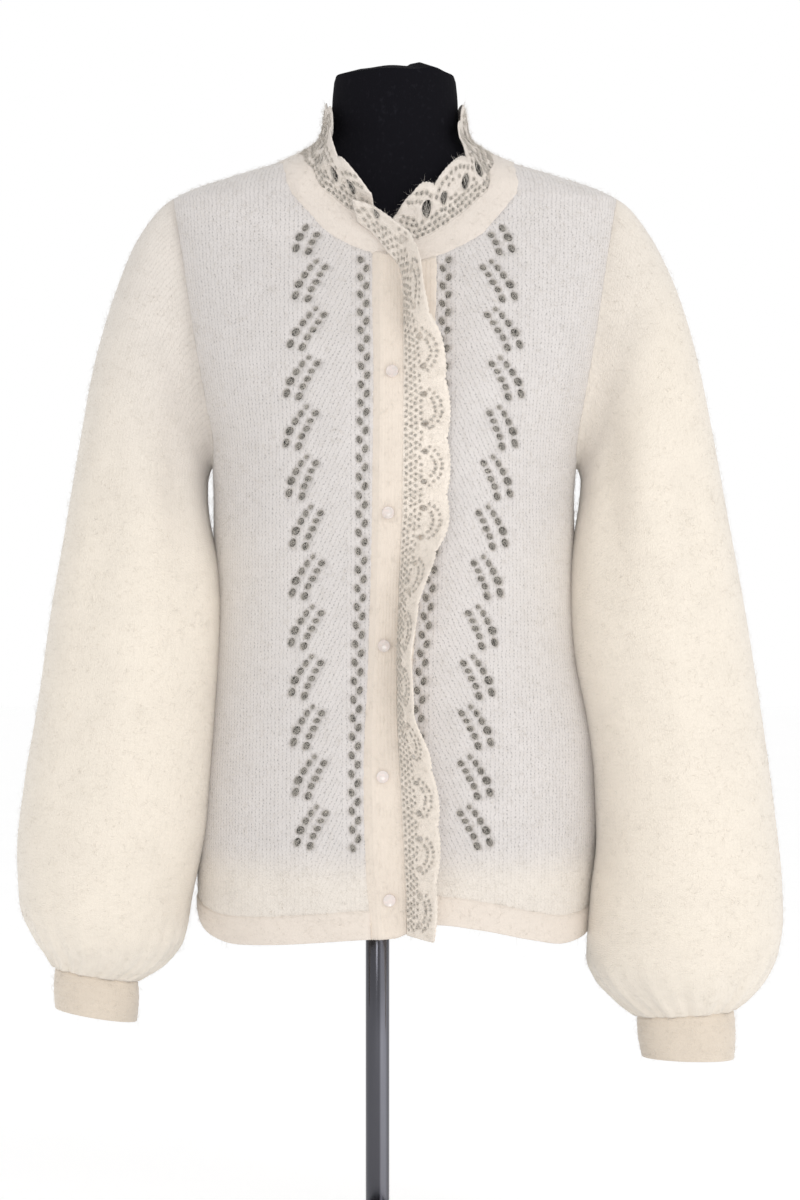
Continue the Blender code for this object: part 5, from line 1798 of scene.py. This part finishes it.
class StudioSettings(bpy.types.PropertyGroup):
    """Light and floor of the studio."""

    floor_colour: FloatVectorProperty(
        name="Floor", description="Colour of the plain floor",
        subtype="COLOR", size=3, min=0.0, max=1.0, default=(0.90, 0.90, 0.90),
    )
    floor_glow: FloatProperty(
        name="Floor glow", description="Light that the white floor sends back",
        default=0.30, min=0.0, max=2.0,
    )
    key_power: FloatProperty(
        name="Key light", description="Power of the soft light in front on the right", subtype="POWER",
        unit="POWER", default=17.0, min=0.0, max=500.0,
    )
    fill_power: FloatProperty(
        name="Fill light", description="Power of the soft light beside the camera", subtype="POWER",
        unit="POWER", default=9.0, min=0.0, max=500.0,
    )
    room_light: FloatProperty(
        name="Room light", description="Strength of the white light from all sides",
        default=0.75, min=0.0, max=5.0,
    )


# Operators

class CARDIGAN_OT_panels(bpy.types.Operator):
    """Knit the two eyelet fronts and the plain back"""

    bl_idname = "cardigan.panels"
    bl_label = "Fronts and back"

    def execute(self, context):
        knit_front("knit_front_right", "front_right", RIGHT_FRONT, -1)
        knit_front("knit_front_left", "front_left", LEFT_FRONT, 1)
        knit_back("knit_back", "back")
        return {"FINISHED"}


class CARDIGAN_OT_bands(bpy.types.Operator):
    """Knit the hem, the neckband and the two plackets"""

    bl_idname = "cardigan.bands"
    bl_label = "Hem, neckband and plackets"

    def execute(self, context):
        gap = math.degrees(SLIT / 2 / FLAT_RADIUS)
        low = LEFT_FRONT[0][0]
        right = float(angle_across(RIGHT_FRONT[0][1] - SLIT, low))
        left = float(angle_across(LEFT_FRONT[0][1] + SLIT, low))
        knit_hem("folded_hem_right", "hem_band_right", -90 + gap, right)
        knit_hem("folded_hem_left", "hem_band_left", left, 90 - gap)
        knit_hem("folded_hem_back", "hem_band_back", 90 + gap, 270 - gap)
        knit_neck_band("folded_neck_band", "neck_band")
        lift = LAYER_GAP + BAND_WALL - BAND_LIFT
        knit_placket("ribbed_placket_right", "placket_right", top_placket_edges, lift, True, TUCK, 9)
        knit_placket("ribbed_placket_left", "placket_left", under_placket_edges, 0.0, False, SLIT, 10)
        return {"FINISHED"}


class CARDIGAN_OT_crochet(bpy.types.Operator):
    """Crochet the standing collar and the edging of the top placket"""

    bl_idname = "cardigan.crochet"
    bl_label = "Crochet collar and edging"

    def execute(self, context):
        crochet(
            "crochet_collar", "collar_lace", COLLAR_LENGTH, COLLAR_LACE, COLLAR_SCALLOP,
            (COLLAR_START, COLLAR_FINISH), COLLAR_OPEN, COLLAR_PHASE, collar_place,
            lambda along: np.full(len(along), COLLAR_BEHIND),
        )
        length = FRONT_LACE[-1][0] - FRONT_LACE[0][0]
        crochet(
            "crochet_edging", "front_lace", length, LACE_WIDTH, EDGING_SCALLOP,
            (EDGING_START, EDGING_FINISH), EDGING_OPEN, EDGING_PHASE, front_lace_place,
            lambda along: EDGING_BEHIND * (1 - smooth_step(along, *EDGING_FADE)),
        )
        return {"FINISHED"}


class CARDIGAN_OT_sleeves(bpy.types.Operator):
    """Knit the balloon sleeves and their cuffs"""

    bl_idname = "cardigan.sleeves"
    bl_label = "Sleeves and cuffs"

    def execute(self, context):
        knit_sleeve(
            "balloon_sleeve_right", "sleeve_right", RIGHT_SLEEVE, RIGHT_NESTLE, -1, RIGHT_GREY_AND_SHADE,
        )
        knit_sleeve(
            "balloon_sleeve_left", "sleeve_left", LEFT_SLEEVE, LEFT_NESTLE, 1, LEFT_GREY_AND_SHADE,
        )
        knit_cuff("straight_cuff_right", "cuff_right", RIGHT_SLEEVE, RIGHT_CUFF_END, -1, (0.155, 0.034))
        knit_cuff("straight_cuff_left", "cuff_left", LEFT_SLEEVE, LEFT_CUFF_END, 1, (0.175, 0.036))
        return {"FINISHED"}


class CARDIGAN_OT_buttons(bpy.types.Operator):
    """Model the pearly buttons"""

    bl_idname = "cardigan.buttons"
    bl_label = "Buttons"

    def execute(self, context):
        material = kept_material("pearl_button", pearl, tuple(context.scene.cardigan_stand.pearl))
        for number, (across, height) in enumerate(BUTTONS, 1):
            model_button(f"pearl_button_{number}", f"button_{number}", across, height, material)
        ring = round_hole(BUTTON_WIDTH * BUTTON_FUZZ, BUTTON_WIDTH * BUTTON_FUZZ)
        fuzzed = [front_hole(*spot, ring) for spot in BUTTONS[:FUZZED_BUTTONS]]
        EYELETS["pearl_buttons"] = (over_buttons, fuzzed)
        return {"FINISHED"}


class CARDIGAN_OT_dress_form(bpy.types.Operator):
    """Model the limbless form in its jersey cover"""

    bl_idname = "cardigan.dress_form"
    bl_label = "Dress form"

    def execute(self, context):
        material = kept_material("black_jersey", jersey, tuple(context.scene.cardigan_stand.jersey))
        model_form("jersey_form", "form_body", material)
        return {"FINISHED"}


class CARDIGAN_OT_stand(bpy.types.Operator):
    """Model the polished pole and its round base"""

    bl_idname = "cardigan.stand"
    bl_label = "Stand"

    def execute(self, context):
        material = kept_material("polished_stand", chrome_painted_reflection, tuple(context.scene.cardigan_stand.chrome))
        model_pole("polished_pole", "form_pole", material)
        model_base("round_base", "form_base", material)
        return {"FINISHED"}


class CARDIGAN_OT_fibres(bpy.types.Operator):
    """Grow the loose mohair fibres"""

    bl_idname = "cardigan.fibres"
    bl_label = "Mohair fibres"

    def execute(self, context):
        yarn = context.scene.cardigan_yarn
        material = kept_material("loose_mohair", plain_fibre, tuple(yarn.fibre_colour))
        bands = tuple(name for name in SKINS if name.startswith(BAND_NAMES))
        groups = (
            # name, pieces, share of the fibres, share of the length, rise, seed
            ("fibres_fronts", ("knit_front_right", "knit_front_left"), 1.0, 0.9, 0.45, 11),
            ("fibres_back", ("knit_back",), 0.7, 0.9, 0.45, 12),
            ("fibres_sleeves", ("balloon_sleeve_right", "balloon_sleeve_left"), 1.3, 0.9, 0.5, 13),
            ("fibres_crochet", ("crochet_collar", "crochet_edging"), 0.6, 0.8, 0.8, 14),
            ("fibres_bands", bands, 0.4, 0.8, 0.6, 15),
        )
        for name, pieces, share, long, rise, seed in groups:
            count = int(yarn.fibre_count * share)
            spin_fibres(name, pieces, count, yarn.fibre_length * long, rise, seed, material)
        veils = (
            # name, piece, hairs across each hole, share of the fibres' width, seed
            ("veil_front_right", "knit_front_right", 60, 0.6, 16),
            ("veil_front_left", "knit_front_left", 60, 0.6, 17),
            ("veil_collar", "crochet_collar", 26, 1.3, 18),
            ("veil_edging", "crochet_edging", 20, 1.8, 19),
            ("veil_buttons", "pearl_buttons", 24, 0.5, 20),
        )
        for name, piece, each, fineness, seed in veils:
            veil_holes(name, piece, each, fineness, seed, material)
        return {"FINISHED"}


# Studio, in metres and millimetres of lens
FLOOR_RADIUS = 14.0
STUDIO_AIM = (CENTRE_X, 0.0, 0.56)
KEY_SPOT, KEY_SIZE = (1.7, -2.2, 1.5), 1.5
FILL_SPOT, FILL_SIZE = (-0.3, -3.0, 0.85), 0.9
CAMERA_SPOT = (0.018, -2.6, 0.540)
SENSOR_HEIGHT = 24.0
LENS = 65.0
WHITE = (1.0, 1.0, 1.0, 1.0)


def add_area_light(name, spot, aim, size, power):
    """A round soft light turned towards a point."""
    lamp = bpy.data.lights.new(name, "AREA")
    lamp.shape = "DISK"
    lamp.size = size
    lamp.energy = power
    light = bpy.data.objects.new(name, lamp)
    light.location = spot
    light.rotation_euler = (Vector(aim) - Vector(spot)).to_track_quat("-Z", "Y").to_euler()
    bpy.context.scene.collection.objects.link(light)


class CARDIGAN_OT_studio(bpy.types.Operator):
    """Set up the floor, the soft lights and the camera"""

    bl_idname = "cardigan.studio"
    bl_label = "Studio"

    def execute(self, context):
        scene, studio = context.scene, context.scene.cardigan_studio
        clear_selection()
        bpy.ops.mesh.primitive_circle_add(
            vertices=96, radius=FLOOR_RADIUS, fill_type="NGON", location=(0, 0, 0),
        )
        floor = context.active_object
        floor.name = floor.data.name = "studio_floor"
        floor.data.materials.append(kept_material("floor_paint", floor_paint, tuple(studio.floor_colour)))
        add_area_light("key_light", KEY_SPOT, STUDIO_AIM, KEY_SIZE, studio.key_power)
        add_area_light("fill_light", FILL_SPOT, STUDIO_AIM, FILL_SIZE, studio.fill_power)
        world = bpy.data.worlds.new("white_studio")
        world.use_nodes = True
        tree = world.node_tree
        seen = tree.nodes["Background"]
        seen.inputs["Color"].default_value = WHITE
        seen.inputs["Strength"].default_value = 1.0
        lit = {"Color": WHITE, "Strength": studio.room_light}
        room = add_node(tree, "ShaderNodeBackground", lit)
        looking = add_node(tree, "ShaderNodeLightPath").outputs["Is Camera Ray"]
        mixed = add_node(tree, "ShaderNodeMixShader", {0: looking, 1: room.outputs[0], 2: seen.outputs[0]})
        tree.links.new(mixed.outputs[0], tree.nodes["World Output"].inputs["Surface"])
        scene.world = world
        scene.view_settings.view_transform = "Standard"
        scene.view_settings.look = "None"
        lens = bpy.data.cameras.new("photo_camera")
        lens.sensor_fit = "VERTICAL"
        lens.sensor_height = SENSOR_HEIGHT
        lens.lens = LENS
        camera = bpy.data.objects.new("photo_camera", lens)
        camera.location = CAMERA_SPOT
        camera.rotation_euler = (math.radians(90), 0.0, 0.0)
        scene.collection.objects.link(camera)
        scene.camera = camera
        return {"FINISHED"}


class CARDIGAN_PT_sidebar(bpy.types.Panel):
    """Lists the cardigan's pieces and settings"""

    bl_idname = "CARDIGAN_PT_sidebar"
    bl_label = "Cardigan"
    bl_space_type = "VIEW_3D"
    bl_region_type = "UI"
    bl_category = "Cardigan"

    def draw(self, context):
        for title, settings in (
            ("Yarn", context.scene.cardigan_yarn),
            ("Buttons, form and stand", context.scene.cardigan_stand),
            ("Studio", context.scene.cardigan_studio),
        ):
            box = self.layout.box()
            box.label(text=title)
            for name in settings.__annotations__:
                box.prop(settings, name)
        for operator in OPERATORS:
            self.layout.operator(operator.bl_idname)


OPERATORS = (
    CARDIGAN_OT_studio,
    CARDIGAN_OT_panels,
    CARDIGAN_OT_bands,
    CARDIGAN_OT_crochet,
    CARDIGAN_OT_sleeves,
    CARDIGAN_OT_buttons,
    CARDIGAN_OT_dress_form,
    CARDIGAN_OT_stand,
    CARDIGAN_OT_fibres,
)
CLASSES = (YarnSettings, StandSettings, StudioSettings) + OPERATORS + (CARDIGAN_PT_sidebar,)


def register():
    """Registers the classes and their settings."""
    for made in CLASSES:
        bpy.utils.register_class(made)
    bpy.types.Scene.cardigan_yarn = PointerProperty(type=YarnSettings)
    bpy.types.Scene.cardigan_stand = PointerProperty(type=StandSettings)
    bpy.types.Scene.cardigan_studio = PointerProperty(type=StudioSettings)


def unregister():
    """Takes the settings and the classes out again."""
    del bpy.types.Scene.cardigan_studio
    del bpy.types.Scene.cardigan_stand
    del bpy.types.Scene.cardigan_yarn
    for made in reversed(CLASSES):
        bpy.utils.unregister_class(made)


def main():
    """Registers the add-on and builds every piece."""
    register()
    bpy.ops.cardigan.studio()
    bpy.ops.cardigan.panels()
    bpy.ops.cardigan.bands()
    bpy.ops.cardigan.crochet()
    bpy.ops.cardigan.sleeves()
    bpy.ops.cardigan.buttons()
    bpy.ops.cardigan.dress_form()
    bpy.ops.cardigan.stand()
    bpy.ops.cardigan.fibres()


if __name__ == "__main__":
    main()
